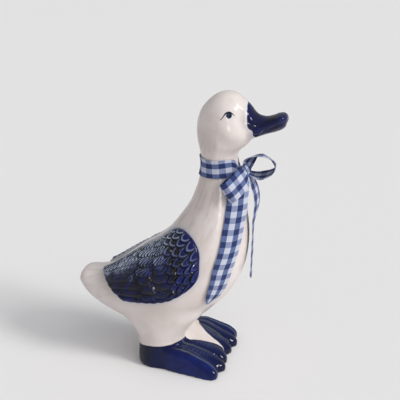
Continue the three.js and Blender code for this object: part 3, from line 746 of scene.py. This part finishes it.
class Value:
    # one output of a material's nodes: plain arithmetic on it adds the nodes that work it out
    def __init__(self, tree, socket):
        self.tree, self.socket = tree, socket

    def __add__(self, other):
        return calc("ADD", self, other)

    def __sub__(self, other):
        return calc("SUBTRACT", self, other)

    def __rsub__(self, other):
        return calc("SUBTRACT", other, self)

    def __mul__(self, other):
        return calc("MULTIPLY", self, other)

    def __truediv__(self, other):
        return calc("DIVIDE", self, other)

    def __abs__(self):
        return calc("ABSOLUTE", self)


def setInputs(node, inputs):
    for key, value in dict(inputs).items():
        if isinstance(value, Value):
            value.tree.links.new(value.socket, node.inputs[key])
        else:
            node.inputs[key].default_value = value


def addNode(tree, kind, inputs=(), output=0, **settings):
    # adds a node and gives back one of its outputs
    node = tree.nodes.new(kind)
    for key, value in settings.items():
        setattr(node, key, value)
    setInputs(node, inputs)
    return Value(tree, node.outputs[output])


def calc(operation, *values, clamp=False):
    tree = next(value.tree for value in values if isinstance(value, Value))
    return addNode(tree, "ShaderNodeMath", enumerate(values), operation=operation, use_clamp=clamp)


def fade(value, low, high):
    # rises smoothly from 0 to 1 while the value goes from low to high
    inputs = {"Value": value, "From Min": low, "From Max": high}
    return addNode(value.tree, "ShaderNodeMapRange", inputs, interpolation_type="SMOOTHSTEP")


def until(value, low, high):
    # falls smoothly from 1 to 0 while the value goes from low to high
    return 1 - fade(value, low, high)


def mix(share, first, second):
    # from the first colour to the second
    return addNode(share.tree, "ShaderNodeMix", {0: share, 6: first, 7: second}, output=2, data_type="RGBA")


def layered(colour, colours, layers):
    # each layer: where it lies, how strong it is and the name of its colour
    for share, strength, name in layers:
        colour = mix(share * strength, colour, colours[name])
    return colour


def noise(vector, scale, detail=3, stretch=None, roughness=0.5):
    if stretch:
        vector = addNode(vector.tree, "ShaderNodeVectorMath", {0: vector, 1: stretch}, operation="MULTIPLY")
    inputs = {"Vector": vector, "Scale": scale, "Detail": detail, "Roughness": roughness}
    return addNode(vector.tree, "ShaderNodeTexNoise", inputs)


def bump(height, strength, distance):
    inputs = {"Height": height, "Strength": strength, "Distance": distance}
    return addNode(height.tree, "ShaderNodeBump", inputs)


def pointValue(tree, name):
    return addNode(tree, "ShaderNodeAttribute", output="Fac", attribute_name=name)


def splitAxes(vector):
    node = addNode(vector.tree, "ShaderNodeSeparateXYZ", {0: vector}).socket.node
    return [Value(vector.tree, output) for output in node.outputs]


def drawnCurve(value, points):
    # a curve through points given as value and height
    xs, ys = zip(*points)
    spanX, lowY = xs[-1] - xs[0], min(ys)
    spanY = max(ys) - lowY
    share = calc("DIVIDE", value - xs[0], spanX, clamp=True)
    height = addNode(value.tree, "ShaderNodeFloatCurve", {"Value": share})
    mapping = height.socket.node.mapping
    curve = mapping.curves[0]
    spots = [((x - xs[0]) / spanX, (y - lowY) / spanY) for x, y in points]
    curve.points[0].location, curve.points[1].location = spots[0], spots[-1]
    for spot in spots[1:-1]:
        curve.points.new(*spot)
    mapping.update()
    return height * spanY + lowY


def newMaterial(name):
    # the material's surface, and its place on the piece in millimetres
    material = bpy.data.materials.new(name)
    material.use_nodes = True
    place = addNode(material.node_tree, "ShaderNodeTexCoord", output="Object")
    inMm = addNode(place.tree, "ShaderNodeVectorMath", {0: place, "Scale": 1 / mm}, operation="SCALE")
    return material, material.node_tree.nodes["Principled BSDF"], inMm


# white glaze and painted bill, feet and eyes

glazeColours = {
    "white": (0.705, 0.645, 0.622, 1), "cream": (0.63, 0.553, 0.52, 1), "stroke": (0.40, 0.325, 0.285, 1),
    # the thin blue is a wash on the feet, and also the painted highlight in the eye
    "cobalt": (0.004, 0.010, 0.085, 1), "night": (0.002, 0.003, 0.014, 1), "thinBlueAndGlint": (0.055, 0.085, 0.24, 1),
    "clear": (0.006, 0.017, 0.17, 1), "violet": (0.008, 0.009, 0.047, 1), "heel": (0.005, 0.008, 0.012, 1),
    "olive": (0.10, 0.125, 0.13, 1), "edgeBlue": (0.50, 0.57, 0.72, 1), "ink": (0.004, 0.008, 0.02, 1),
}
# a pair says from where to where a tint sets in, in millimetres or as values of a noise;
# a tint's own number says how strong it is
creamPaint = {
    "cloud": (0.35, 0.75), "streak": (0.42, 0.74), "streakLean": 0.28, "streakTint": 0.34,
    "neckAbove": (72, 104), "neckFront": (24, 42), "headAbove": (150, 172), "headLoss": 0.9,
    "napeHeight": 157, "napeReach": 14, "napeFade": (0, 0.8), "napeFront": (22, 32), "napeStrokeAndShadeTint": 0.32,
    "plume": (0.5, 0.75), "tailFront": (-52, -36), "plumeTint": 0.35,
    "speck": (0.72, 0.8), "speckTint": 0.12, "haloTint": 0.4,
}
billPaint = {
    "lowest": 150, "edge": (-0.15, 0.35), "halo": (-2.2, 0.0), "patch": (0.35, 0.65),
    "roll": (0.1, 0.7), "rollHighlightTint": 0.5, "border": (0.8, 3.2), "tip": (65, 69), "borderTint": 0.4,
}
footPaint = {
    "edge": (-0.2, 0.35), "highest": 40, "drift": 30,
    "heel": (-40, -4), "toe": (-40, 14), "toeTint": 0.5,
    "outside": (24, 31), "outsideFrom": (-30, 16), "cloud": (0.3, 0.7), "cloudTint": (0.15, 0.5),
    "tips": (28, 35), "tipTint": 0.5,
    # rows of dabs along two toes
    "dabsFrom": (2, 10), "dabsTo": (22, 28), "dabReach": (1.2, 2.6), "dabSpacing": 2.6, "dabUneven": 7,
    "dab": (-0.2, 0.8), "dabTint": 0.65, "dabGround": 0.22, "innerToe": 6.0,
    "groove": (0.3, 1.3), "grooveTint": 0.65, "grooveTo": (20, 60),
}
glazeFinish = {"white": 0.2, "painted": 0.07, "wing": 0.06, "ior": 1.34}
paintedEdges = {
    "bill": [(150, 58.0), (157, 52.8), (158.9, 51.2), (160.7, 50.2), (162.7, 50.4), (164.1, 49.8),
             (165.6, 47.7), (168, 47.0), (170.4, 46.9), (173.3, 46.6), (176.6, 46.1), (179, 45.7),
             (186, 45.0)],
    "ankle": [(-27, 13.4), (-21.9, 14.2), (-17.3, 15.0), (-12.6, 15.5), (-6.9, 16.1), (-3, 16.8), (0.8, 17.7),
              (4.2, 18.9), (7, 19.4), (9, 20.4), (12, 22)],
    "nearApron": [(-26, 4.5), (-10, 6), (0, 8), (4, 10.5), (6.8, 12.2), (9, 11.8), (11.5, 10.4), (16.1, 6.6),
                  (22, 2.6), (27, 1), (31, 0)],
    "farApron": [(-26, 4.5), (-10, 6), (0, 15), (5, 21.5), (7.5, 20), (10, 15.4), (12.5, 11.6), (16.8, 7.2),
                 (21.8, 4.4), (27.2, 2), (31, 0.3)],
    "wobble": 0.9,
}
eyePaint = {
    "pupil": (36.3, 174.1), "pupilRadius": 1.75, "glint": (36.0, 174.7), "glintRadius": 0.5, "glintTint": 0.6,
    "shade": (-2.6, 0.2), "shadeTint": 0.25, "lashTint": 0.5,
    "lidEdge": (-0.25, 0.2), "spotEdge": (-0.3, 0.3), "lashEdge": (-0.1, 0.12),
    "lid": [(30.0, 171.2), (31.0, 171.5), (32.4, 172.8), (33.4, 174.4), (34.5, 175.5), (36.4, 176.0),
            (38.0, 175.3), (39.4, 173.9), (40.2, 172.8)],
    "lidWidth": [(30.0, -0.3), (30.8, 0.12), (32.4, 0.38), (33.4, 0.62), (34.5, 0.65), (36.4, 0.6),
                 (38.0, 0.4), (39.4, 0.15), (40.2, -0.4)],
    "lash": [(27.4, 171.5), (28.8, 172.1), (30.3, 173.0), (31.6, 173.7)],
    "lashWidth": [(27.4, -0.4), (28.8, 0.08), (30.3, 0.13), (31.6, -0.4)],
}


def creamGlaze(inMm, x, y, z):
    # a little uneven, with faint strokes that run down the neck and over the tail
    paint = creamPaint
    base = mix(fade(noise(inMm, 0.045, 4), *paint["cloud"]), glazeColours["white"], glazeColours["cream"])
    flow = addNode(x.tree, "ShaderNodeCombineXYZ", {0: x - z * paint["streakLean"], 1: y, 2: z})
    streak = noise(flow, 1.0, 2, (0.30, 0.30, 0.012))
    onNeck = fade(z, *paint["neckAbove"]) * until(x, *paint["neckFront"])
    onNeck *= 1 - fade(z, *paint["headAbove"]) * paint["headLoss"]
    nape = fade(1 - abs(z - paint["napeHeight"]) / paint["napeReach"], *paint["napeFade"])
    plume = fade(noise(inMm, 1.0, 4, (0.05, 0.35, 0.3), 0.6), *paint["plume"])
    base = layered(base, glazeColours, [
        (fade(streak, *paint["streak"]) * onNeck, paint["streakTint"], "stroke"),
        # a darker warm band at the back of the head: brush strokes, and painted shade on the side away from
        # the light
        (nape * until(x, *paint["napeFront"]), paint["napeStrokeAndShadeTint"], "stroke"),
        (plume * until(x, *paint["tailFront"]), paint["plumeTint"], "stroke"),
        (pointValue(x.tree, "wingHalo"), paint["haloTint"], "edgeBlue"),
        (fade(noise(inMm, 0.9, 2), *paint["speck"]), paint["speckTint"], "stroke"),
    ])
    return base, streak * onNeck


def billColour(inMm, x, pastBill, patch):
    # an even, nearly black blue, lighter on the rolled edge as a painted highlight, and a little thinner at
    # the border and the tip
    paint = billPaint
    colour = mix(fade(patch, *paint["patch"]), glazeColours["night"], glazeColours["violet"])
    border = calc("MAXIMUM", until(pastBill, *paint["border"]), fade(x, *paint["tip"]))
    return layered(colour, glazeColours, [
        # painted highlight: lighter blue along the rolled edge of the bill
        (fade(pointValue(x.tree, "rolled"), *paint["roll"]), paint["rollHighlightTint"], "cobalt"),
        (border, paint["borderTint"], "cobalt"),
    ])


def footColour(inMm, x, z, side, patch):
    # from a blackish heel to clear blue toes, with dabs along the toes and pale grooves between them
    paint = footPaint
    forward = x + (patch - 0.5) * paint["drift"]
    colour = mix(fade(forward, *paint["heel"]), glazeColours["heel"], glazeColours["night"])
    outside = fade(side, *paint["outside"]) * fade(forward, *paint["outsideFrom"])
    cloudy = fade(noise(inMm, 0.16, 4, roughness=0.6), *paint["cloud"])
    least, more = paint["cloudTint"]
    layers = [
        (fade(forward, *paint["toe"]), paint["toeTint"], "cobalt"),
        (outside, cloudy * more + least, "clear"),
        (fade(x, *paint["tips"]), paint["tipTint"], "night"),
    ]
    outerLine, innerLine = drawnCurve(x, toeGrooves["outer"]), drawnCurve(x, toeGrooves["inner"])
    onFoot = calc("LESS_THAN", z, paint["highest"]) * fade(x, *paint["dabsFrom"])
    wave = x * paint["dabSpacing"] + noise(inMm, 0.45, 2) * paint["dabUneven"]
    dab = fade(calc("SINE", wave), *paint["dab"])
    for middle in ((outerLine + innerLine) * 0.5, innerLine - paint["innerToe"]):
        ladder = until(abs(side - middle), *paint["dabReach"]) * onFoot * until(x, *paint["dabsTo"])
        layers += [(ladder, paint["dabGround"], "thinBlueAndGlint"), (ladder * dab, paint["dabTint"], "night")]
    grooveTint = paint["grooveTint"] - fade(x, *paint["grooveTo"])
    for line in (outerLine, innerLine):
        layers.append((until(abs(side - line), *paint["groove"]) * onFoot, grooveTint, "olive"))
    return layered(colour, glazeColours, layers)


def paintEye(colour, x, z, onHead):
    # the lid and the lash are lines, the pupil and its glint are round spots
    paint = eyePaint

    def insideLine(name):
        return drawnCurve(x, paint[name + "Width"]) - abs(z - drawnCurve(x, paint[name]))

    def insideSpot(name):
        spot = addNode(x.tree, "ShaderNodeCombineXYZ", {0: x, 1: z})
        inputs = {0: spot, 1: (*paint[name], 0)}
        away = addNode(x.tree, "ShaderNodeVectorMath", inputs, output="Value", operation="DISTANCE")
        return paint[name + "Radius"] - away

    pupil = insideSpot("pupil")
    ink = calc("MAXIMUM", fade(insideLine("lid"), *paint["lidEdge"]), fade(pupil, *paint["spotEdge"]))
    ink = calc("MAXIMUM", ink, fade(insideLine("lash"), *paint["lashEdge"]) * paint["lashTint"])
    return layered(colour, glazeColours, [
        (fade(pupil, *paint["shade"]) * onHead, paint["shadeTint"], "edgeBlue"),
        (ink, onHead, "ink"),
        # the glint is a painted highlight in the pupil
        (fade(insideSpot("glint"), *paint["spotEdge"]) * onHead, paint["glintTint"], "thinBlueAndGlint"),
    ])


def makeGlaze():
    material, surface, inMm = newMaterial("creamGlaze")
    x, y, z = splitAxes(inMm)
    side, isFar = abs(y), calc("GREATER_THAN", y, 0)
    onHead = calc("GREATER_THAN", z, billPaint["lowest"])
    base, strokes = creamGlaze(inMm, x, y, z)

    # where the bill and the feet are painted
    wobble = (noise(inMm, 0.25, 2) - 0.5) * paintedEdges["wobble"]
    pastBill = x - (drawnCurve(z, paintedEdges["bill"]) + wobble)
    nearApron = drawnCurve(x, paintedEdges["nearApron"]) * (1 - isFar)
    farApron = drawnCurve(x, paintedEdges["farApron"]) * isFar
    underAnkle = drawnCurve(x, paintedEdges["ankle"]) + wobble - z
    besideApron = side - (nearApron + farApron + wobble)
    foot = fade(underAnkle, *footPaint["edge"]) * fade(besideApron, *footPaint["edge"])
    paint = calc("MAXIMUM", fade(pastBill, *billPaint["edge"]) * onHead, foot)
    halo = fade(pastBill, *billPaint["halo"]) * onHead
    base = layered(base, glazeColours, [(halo, creamPaint["haloTint"], "edgeBlue")])

    patch = noise(inMm, 0.11, 2)
    blue = mix(onHead, footColour(inMm, x, z, side, patch), billColour(inMm, x, pastBill, patch))
    colour = paintEye(mix(paint, base, blue), x, z, onHead)
    shine = {"Value": paint, "To Min": glazeFinish["white"], "To Max": glazeFinish["painted"]}
    relief = bump(noise(inMm, 0.12, 2) * 1.4 + strokes * 0.7, 0.35, 0.0005)
    setInputs(surface, {
        "Base Color": colour, "Roughness": addNode(x.tree, "ShaderNodeMapRange", shine),
        "IOR": glazeFinish["ior"], "Normal": relief,
    })
    return material


# wing paint

wingColours = {
    "black": (0.004, 0.0045, 0.007, 1), "olive": (0.016, 0.016, 0.012, 1), "deep": (0.006, 0.010, 0.075, 1),
    "cobalt": (0.020, 0.036, 0.22, 1), "pale": (0.52, 0.59, 0.73, 1), "slate": (0.055, 0.070, 0.115, 1),
    "lip": (0.45, 0.46, 0.49, 1),
}
# as above; "along" runs from the shoulder to the tips, "across" from the back down, each from 0 to 1
wingPaint = {
    "barb": (-0.4, 0.9), "rimPaleAndHighlightTint": 0.9, "gone": (0.38, 0.62), "stroke": (0, 0.75),
    "drift": 0.45, "lean": 0.38, "pale": (-0.06, 0.38), "slateTint": 0.55,
    "frontAlong": (0.05, 0.36), "frontAcross": (0.3, 0.85), "frontTint": 0.30,
    "edgeAlong": (0, 0.22), "edgeAcross": (0.80, 0.97), "footEdge": 0.8, "edgeBlue": 0.25,
    "olive": (0.4, 0.62), "deep": (0.44, 0.64), "cobalt": (-0.4, 0.7),
    "murkAlong": (0.15, 0.42), "murkAcross": (0.35, 0.6), "murkTint": 0.75, "worn": 0.3, "murkWorn": 0.6,
    "pool": (0.46, 0.6), "poolTint": 0.6, "seamPoolAndShadeTint": 0.9, "paleSeam": 0.35, "top": (0.04, 0.12),
    "topTint": 0.85,
}


def makeWingGlaze():
    material, surface, inMm = newMaterial("wingGlaze")
    value = {name: pointValue(inMm.tree, name) for name in wingValues}
    across, along = value["across"], value["along"]
    colours, paint = wingColours, wingPaint

    # paler toward the top and the back of the duck, a painted reflection of the bright room on the upturned
    # top of the wing; the glaze pools nearly black below
    patch = noise(inMm, 0.14)
    drift = (patch - 0.5) * paint["drift"]
    # pale: where the painted reflection lies on the top of the wing
    pale = until(across + drift - along * paint["lean"], *paint["pale"])
    front = until(along, *paint["frontAlong"]) * until(across, *paint["frontAcross"])
    foot = fade(across, *paint["edgeAcross"]) * paint["footEdge"]
    edge = calc("MAXIMUM", until(along, *paint["edgeAlong"]), foot)
    murk = fade(along, *paint["murkAlong"]) * fade(across + drift, *paint["murkAcross"])
    blueness = noise(inMm, 0.2, 2) + edge * paint["edgeBlue"]
    ground = mix(fade(patch, *paint["olive"]), colours["black"], colours["olive"])
    # the slate tint here and the pale tint of the light colour below are the painted reflection on the top of
    # the wing
    ground = layered(ground, colours, [
        (fade(blueness, *paint["deep"]), 1, "deep"), (pale, paint["slateTint"], "slate"),
    ])
    light = mix(fade(value["tone"], *paint["cobalt"]), colours["deep"], colours["cobalt"])
    light = layered(light, colours, [
        (pale, 1, "pale"), (front, paint["frontTint"], "pale"), (murk, paint["murkTint"], "deep"),
    ])

    # barbs aslant over the long feathers, a pale rim round the small ones that is partly a painted highlight
    # on their raised edges, both worn away in places
    barb = calc("SINE", (value["phase"] + noise(inMm, 0.3)) * (2 * math.pi))
    barb = fade(barb, *paint["barb"]) * value["long"]
    gone = until(noise(inMm, 0.45, 4), *paint["gone"])
    worn = gone * (murk * paint["murkWorn"] + paint["worn"])
    stroke = (barb + value["rim"] * paint["rimPaleAndHighlightTint"]) * (1 - worn)
    pool = fade(noise(inMm, 0.28), *paint["pool"])
    pool *= calc("SUBTRACT", murk, calc("MAXIMUM", pale, edge), clamp=True)
    colour = layered(mix(fade(stroke, *paint["stroke"]), ground, light), colours, [
        (pool, paint["poolTint"], "olive"),
        # dark seams between and under the feathers: pooled glaze and painted shade
        (value["seam"], paint["seamPoolAndShadeTint"] - pale * paint["paleSeam"], "black"),
        (until(across, *paint["top"]), paint["topTint"], "lip"),
    ])
    relief = bump(noise(inMm, 0.7) * 0.8 + barb, 0.5, 0.0003)
    setInputs(surface, {
        "Base Color": colour, "Roughness": glazeFinish["wing"], "IOR": glazeFinish["ior"], "Normal": relief,
    })
    return material


wingHalo = {"reach": 2.8, "xBelow": 35, "zBetween": (35, 115), "yBeyond": 5}


def markHalo(skin, wing, setup):
    # the blue of a wing bleeds a little into the white glaze beside it
    points, rim = readPoints(skin), readPoints(wing)[-wing["rimPoints"]:]
    x, y, z = points.T
    mirrored = np.stack([x, -np.abs(y), z], axis=-1)
    tree = KDTree(len(rim))
    for number, spot in enumerate(rim):
        tree.insert(spot, number)
    tree.balance()
    low, high = setup["zBetween"]
    close = (x < setup["xBelow"]) & (z > low) & (z < high) & (np.abs(y) > setup["yBeyond"])
    away = np.full(len(points), setup["reach"] * 2.0)
    away[close] = [tree.find(spot)[2] for spot in mirrored[close]]
    setAttribute(skin, "wingHalo", 1 - smoothStep(away, setup["reach"] / 2, setup["reach"]))


def setMaterial(piece, material):
    piece.data.materials.clear()
    piece.data.materials.append(material)


markHalo(skin, wings[0], wingHalo)
setMaterial(skin, makeGlaze())
wingGlaze = makeWingGlaze()
for wing in wings:
    setMaterial(wing, wingGlaze)
for piece in [skin] + wings:
    selectOnly(piece)
    bpy.ops.object.shade_smooth()
duck = joined("porcelainDuck", [skin] + wings)
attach(duck, "root")
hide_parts("porcelain_duck")
print("duck glazed and painted,", len(duck.data.polygons), "faces")

# ribbon

ribbonSetup = {
    "width": 15.0, "thickness": 0.32, "columns": 12, "edgeAngle": 50,
    "loopWidth": 14.6, "knotWidth": 7.5, "gather": 11, "pleat": 0.5, "cup": 0.5, "tip": 8, "tipWidth": 2.5,
    # turns in degrees round the neck; the dip is where the bow pulls the band down
    "band": {"place": 162.2, "lean": 3.5, "dip": 6.0, "dipTurn": 188, "dipReach": 32, "width": 11.4,
             "turns": (185, 537), "lift": 0.75, "pleat": 0.35, "pleatReach": 0.12, "slowWave": 0.18,
             "quickWave": 0.12, "length": 69, "steps": 90},
    "knot": {"middle": (45.2, -3.4, 136.0), "radii": (3.2, 3.06, 4.4), "skew": 0.5, "crease": 0.09,
             "length": 28, "steps": 40},
    "nearTail": {"lift": 0.25, "wave": 0.12, "steps": 70},
}
nearLoop = [
    ((46.0, -4.0, 136.4), (0.38, 0.3, -0.87)), ((46.4, -11.4, 134.8), (0.40, 0.3, -0.86)),
    ((42.9, -18.2, 130.6), (0.42, 0.3, -0.85)), ((38.2, -21.6, 126.2), (0.44, 0.3, -0.84)),
    ((36.0, -20.6, 124.8), (0.44, 0.3, -0.84)), ((38.6, -16.8, 127.6), (0.42, 0.3, -0.85)),
    ((42.6, -11.8, 131.4), (0.38, 0.3, -0.87)), ((45.4, -3.4, 135.8), (0.38, 0.3, -0.87)),
]
farLoop = [
    ((45.4, -1.5, 136.8), (0.55, 0.8, -0.3)), ((46.6, 1.5, 141.2), (0.50, 0.82, -0.25)),
    ((49.2, 3.0, 144.2), (0.22, 0.96, -0.15)), ((53.6, 3.2, 145.4), (0.0, 0.98, -0.13)),
    ((59.2, 3.4, 143.4), (-0.16, 0.96, -0.22)), ((63.2, 3.5, 139.4), (-0.23, 0.92, -0.3)),
    ((62.6, 3.5, 136.0), (-0.12, 0.96, -0.05)), ((58.4, 3.4, 133.0), (0, 0.97, 0.12)),
    ((52.6, 3.0, 131.8), (0, 0.97, 0.15)), ((46.2, -1.0, 134.8), (0, 1, 0)),
]
farTail = [
    ((46.4, 0.0, 134.6), (0.06, 0.99, 0)), ((49.6, 1.8, 126.4), (0.05, 0.99, 0)),
    ((51.2, 2.6, 121.0), (0.05, 0.99, 0)), ((51.9, 3.0, 115.0), (0.05, 0.99, 0)),
    ((51.3, 3.0, 108.0), (0.03, 0.99, 0)), ((50.0, 3.0, 101.0), (-0.05, 0.99, 0)),
    ((49.4, 2.8, 93.0), (-0.15, 0.98, 0)), ((49.3, 2.8, 86.0), (-0.12, 0.99, 0)),
    ((49.2, 2.8, 78.0), (-0.1, 0.99, 0)), ((48.8, 2.8, 69.0), (-0.14, 0.99, 0)),
    ((48.3, 2.8, 60.5), (-0.2, 0.98, 0)),
]
# left edge and right edge down the breast, each as place, turn and height over the porcelain
nearTail = [
    (160.5, 158, 3.6, 161.5, 184, 5.2), (151.8, 120, 1.0, 153.4, 167, 6.0),
    (142.3, 111, 0.5, 145.6, 158, 4.2), (129.7, 106, 0.5, 135.4, 147, 2.4),
    (120.9, 106, 0.5, 128.1, 144, 1.1), (112.4, 108, 0.5, 120.2, 141, 0.6),
    (105.6, 111, 0.7, 113.2, 140, 0.5), (99.7, 117, 0.9, 107.0, 142, 0.5),
    (95.2, 122, 1.2, 100.5, 145, 0.6), (91.0, 128.5, 1.3, 94.5, 144, 0.8),
    (88.4, 136.5, 1.4, 88.8, 139, 1.0),
]


def clothGrid(name, rows, placeAt, lengths, uRange, startV):
    # a strip of cloth; its UV map holds millimetres across and along the cloth
    columns = ribbonSetup["columns"]
    strip, row, column = gridPiece(name, rows, columns, placeAt)
    u = uRange[0] + (uRange[1] - uRange[0]) * column / columns
    v = startV + lengths[row]
    corner = readNumbers(strip.data.loops, "vertex_index", kind=int)
    layer = strip.data.uv_layers[0]
    layer.name = "cloth"
    layer.data.foreach_set("uv", np.stack([u, v], axis=-1)[corner].ravel())
    return strip


def alongStations(stations, steps):
    # stations: a point on the middle of the strip and the direction across it
    middles = np.array([s[0] for s in stations], float)
    across = np.array([s[1] for s in stations], float)
    knots = travelled(middles)
    values = curveThrough(knots, np.hstack([middles, across]))(np.linspace(0, knots[-1], steps + 1))
    middle, side = values[:, :3], unit(values[:, 3:])
    return middle, side, unit(np.cross(np.gradient(middle, axis=0), side)), travelled(middle)


def makeStrip(name, stations, steps, widthAt, uRange, startV):
    middle, side, out, lengths = alongStations(stations, steps)
    widths = widthAt(lengths, lengths[-1])
    setup = ribbonSetup

    def placeAt(row, column):
        c = column / setup["columns"] - 0.5
        toEnd = np.minimum(lengths[row], lengths[-1] - lengths[row])
        gathered = 1 - smoothStep(toEnd, 0, setup["gather"])
        high = setup["cup"] * (1 - 4 * c**2) + setup["pleat"] * gathered * np.sin(c * 4 * np.pi)
        return middle[row] + side[row] * (widths[row] * c)[:, None] + out[row] * high[:, None]

    return clothGrid(name, steps, placeAt, lengths, uRange, startV)


def makeBand(setup, uRange, startV):
    # the turn round the neck
    first, last = setup["turns"]

    def placeAt(row, column):
        turn = np.radians(first + (last - first) * row / setup["steps"])
        dip = setup["dip"] * bell((np.degrees(turn) % 360 - setup["dipTurn"]) / setup["dipReach"])
        place = setup["place"] - setup["lean"] * np.cos(turn) - dip
        apart = trunk["point"](place + 1, turn) - trunk["point"](place - 1, turn)
        stretch = np.linalg.norm(apart, axis=1) / 2
        c = column / ribbonSetup["columns"] - 0.5
        ends = np.minimum(row, setup["steps"] - row) / setup["steps"]
        gathered = 1 - smoothStep(ends, 0, setup["pleatReach"])
        pleat = setup["pleat"] * gathered * (1 + np.sin(c * 5 * np.pi))
        wave = setup["slowWave"] * np.sin(row * 0.35 + c * 3) + setup["quickWave"] * np.sin(row * 0.93)
        return lifted(trunk, place - c * setup["width"] / stretch, turn, setup["lift"] + pleat + wave)

    lengths = np.linspace(0, setup["length"], setup["steps"] + 1)
    return clothGrid("band", setup["steps"], placeAt, lengths, uRange, startV)


def makeNearTail(setup, uRange, startV):
    # the tail that lies on the breast
    count = len(nearTail)
    stations = curveThrough(range(count), nearTail)(np.linspace(0, count - 1, setup["steps"] + 1))
    left, right = stations[:, :3], stations[:, 3:]
    edges = [lifted(trunk, edge[:, 0], np.radians(edge[:, 1]), edge[:, 2]) for edge in (left, right)]

    def placeAt(row, column):
        c = column / ribbonSetup["columns"]
        at = left[row] + (right[row] - left[row]) * c[:, None]
        wave = setup["wave"] * np.sin(row * 0.22 + c * 2.5)
        return lifted(trunk, at[:, 0], np.radians(at[:, 1]), at[:, 2] + setup["lift"] + wave)

    return clothGrid("nearTail", setup["steps"], placeAt, travelled(sum(edges) / 2), uRange, startV)


def makeKnot(setup, uRange, startV):
    # the ribbon's own turn round the middle of the bow
    deep, half, high = setup["radii"]

    def placeAt(row, column):
        around = 2 * np.pi * row / setup["steps"]
        c = 2 * column / ribbonSetup["columns"] - 1
        swell = np.sqrt(np.clip(1 - (0.8 * c) ** 2, 0, 1))
        swell *= 1 + setup["crease"] * np.sin(8 * c + 2 * np.sin(around))
        x, z = np.cos(around) * deep * swell, np.sin(around) * high * swell
        y = c * half + setup["skew"] * np.sin(around)
        return setup["middle"] + np.stack([x, y, z], axis=-1)

    lengths = np.linspace(0, setup["length"], setup["steps"] + 1)
    return clothGrid("knot", setup["steps"], placeAt, lengths, uRange, startV)


def widening(place):
    # from the knot's width to the full width of a loop
    narrow, wide = ribbonSetup["knotWidth"], ribbonSetup["loopWidth"]
    return narrow + (wide - narrow) * np.clip(place / ribbonSetup["gather"], 0, 1)


def gatheredWidth(place, length):
    return widening(np.minimum(place, length - place))


def pointedWidth(place, length):
    tip = ribbonSetup["tipWidth"]
    return tip + (widening(place) - tip) * np.clip((length - place) / ribbonSetup["tip"], 0, 1)


clothColours = {
    "white": (0.52, 0.54, 0.635, 1), "middle": (0.075, 0.13, 0.32, 1), "blue": (0.003, 0.015, 0.10, 1),
    "fluff": (0.28, 0.34, 0.48, 1),
}
# sizes in millimetres of cloth
clothWeave = {
    "check": 7.8, "shift": 4.2, "stripeStart": (0, 0.02), "stripeEnd": (0.49, 0.51), "warpShare": 0.66,
    "thread": 0.30, "threadShare": 0.35, "middle": (0, 0.55), "blue": (0.5, 1),
    "fluff": (0.4, 0.8), "fluffTint": 0.12, "roughness": 0.85, "sheen": 0.04, "sheenRoughness": 0.5,
}


def makeGingham():
    material, surface, inMm = newMaterial("ginghamCloth")
    across, along, _ = splitAxes(addNode(inMm.tree, "ShaderNodeUVMap", uv_map="cloth"))
    weave, colours = clothWeave, clothColours

    def stripe(place):
        wave = calc("FRACT", place / weave["check"])
        return fade(wave, *weave["stripeStart"]) * until(wave, *weave["stripeEnd"])

    def threads(place):
        # the number of the thread, and how high its round top is there
        count = place / weave["thread"]
        return calc("FLOOR", count), calc("SINE", calc("FRACT", count) * math.pi)

    # the warp runs along the ribbon and lies under every second thread of the weft
    warp, weft = stripe(across + weave["shift"]), stripe(along)
    (warpThread, warpTop), (weftThread, weftTop) = threads(across), threads(along)
    over = calc("FLOORED_MODULO", warpThread + weftThread, 2.0)
    woven = warp * (1 - over) + weft * over
    even = warp * weave["warpShare"] + weft * (1 - weave["warpShare"])
    blue = even * (1 - weave["threadShare"]) + woven * weave["threadShare"]
    colour = mix(fade(blue, *weave["middle"]), colours["white"], colours["middle"])
    colour = mix(fade(blue, *weave["blue"]), colour, colours["blue"])
    fluff = fade(noise(inMm, 2.5), *weave["fluff"])
    colour = mix(fluff * weave["fluffTint"], colour, colours["fluff"])
    relief = bump(over * warpTop + (1 - over) * weftTop, 0.5, 0.0001)
    setInputs(surface, {
        "Base Color": colour, "Roughness": weave["roughness"], "Sheen Weight": weave["sheen"],
        "Sheen Roughness": weave["sheenRoughness"], "Normal": relief,
    })
    return material


full = ribbonSetup["width"]
strips = [
    makeBand(ribbonSetup["band"], (1.2, full), 0.8),
    makeStrip("nearLoop", nearLoop, 80, gatheredWidth, (full, 0), 1.5),
    makeStrip("farLoop", farLoop, 70, gatheredWidth, (0, full), 3.0),
    makeStrip("farTail", farTail, 70, pointedWidth, (3.4, full), 0.0),
    makeNearTail(ribbonSetup["nearTail"], (full, 0), 2.0),
    makeKnot(ribbonSetup["knot"], (2.6, 8.6), 0.0),
]
ribbon = joined("ginghamRibbon", strips)
finishWith(ribbon, "SOLIDIFY", thickness=ribbonSetup["thickness"] * mm, offset=0)
setMaterial(ribbon, makeGingham())
selectOnly(ribbon)
bpy.ops.object.shade_smooth_by_angle(angle=math.radians(ribbonSetup["edgeAngle"]))
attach(ribbon, "root")
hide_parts("gingham_ribbon")
print("ribbon tied,", len(ribbon.data.polygons), "faces")
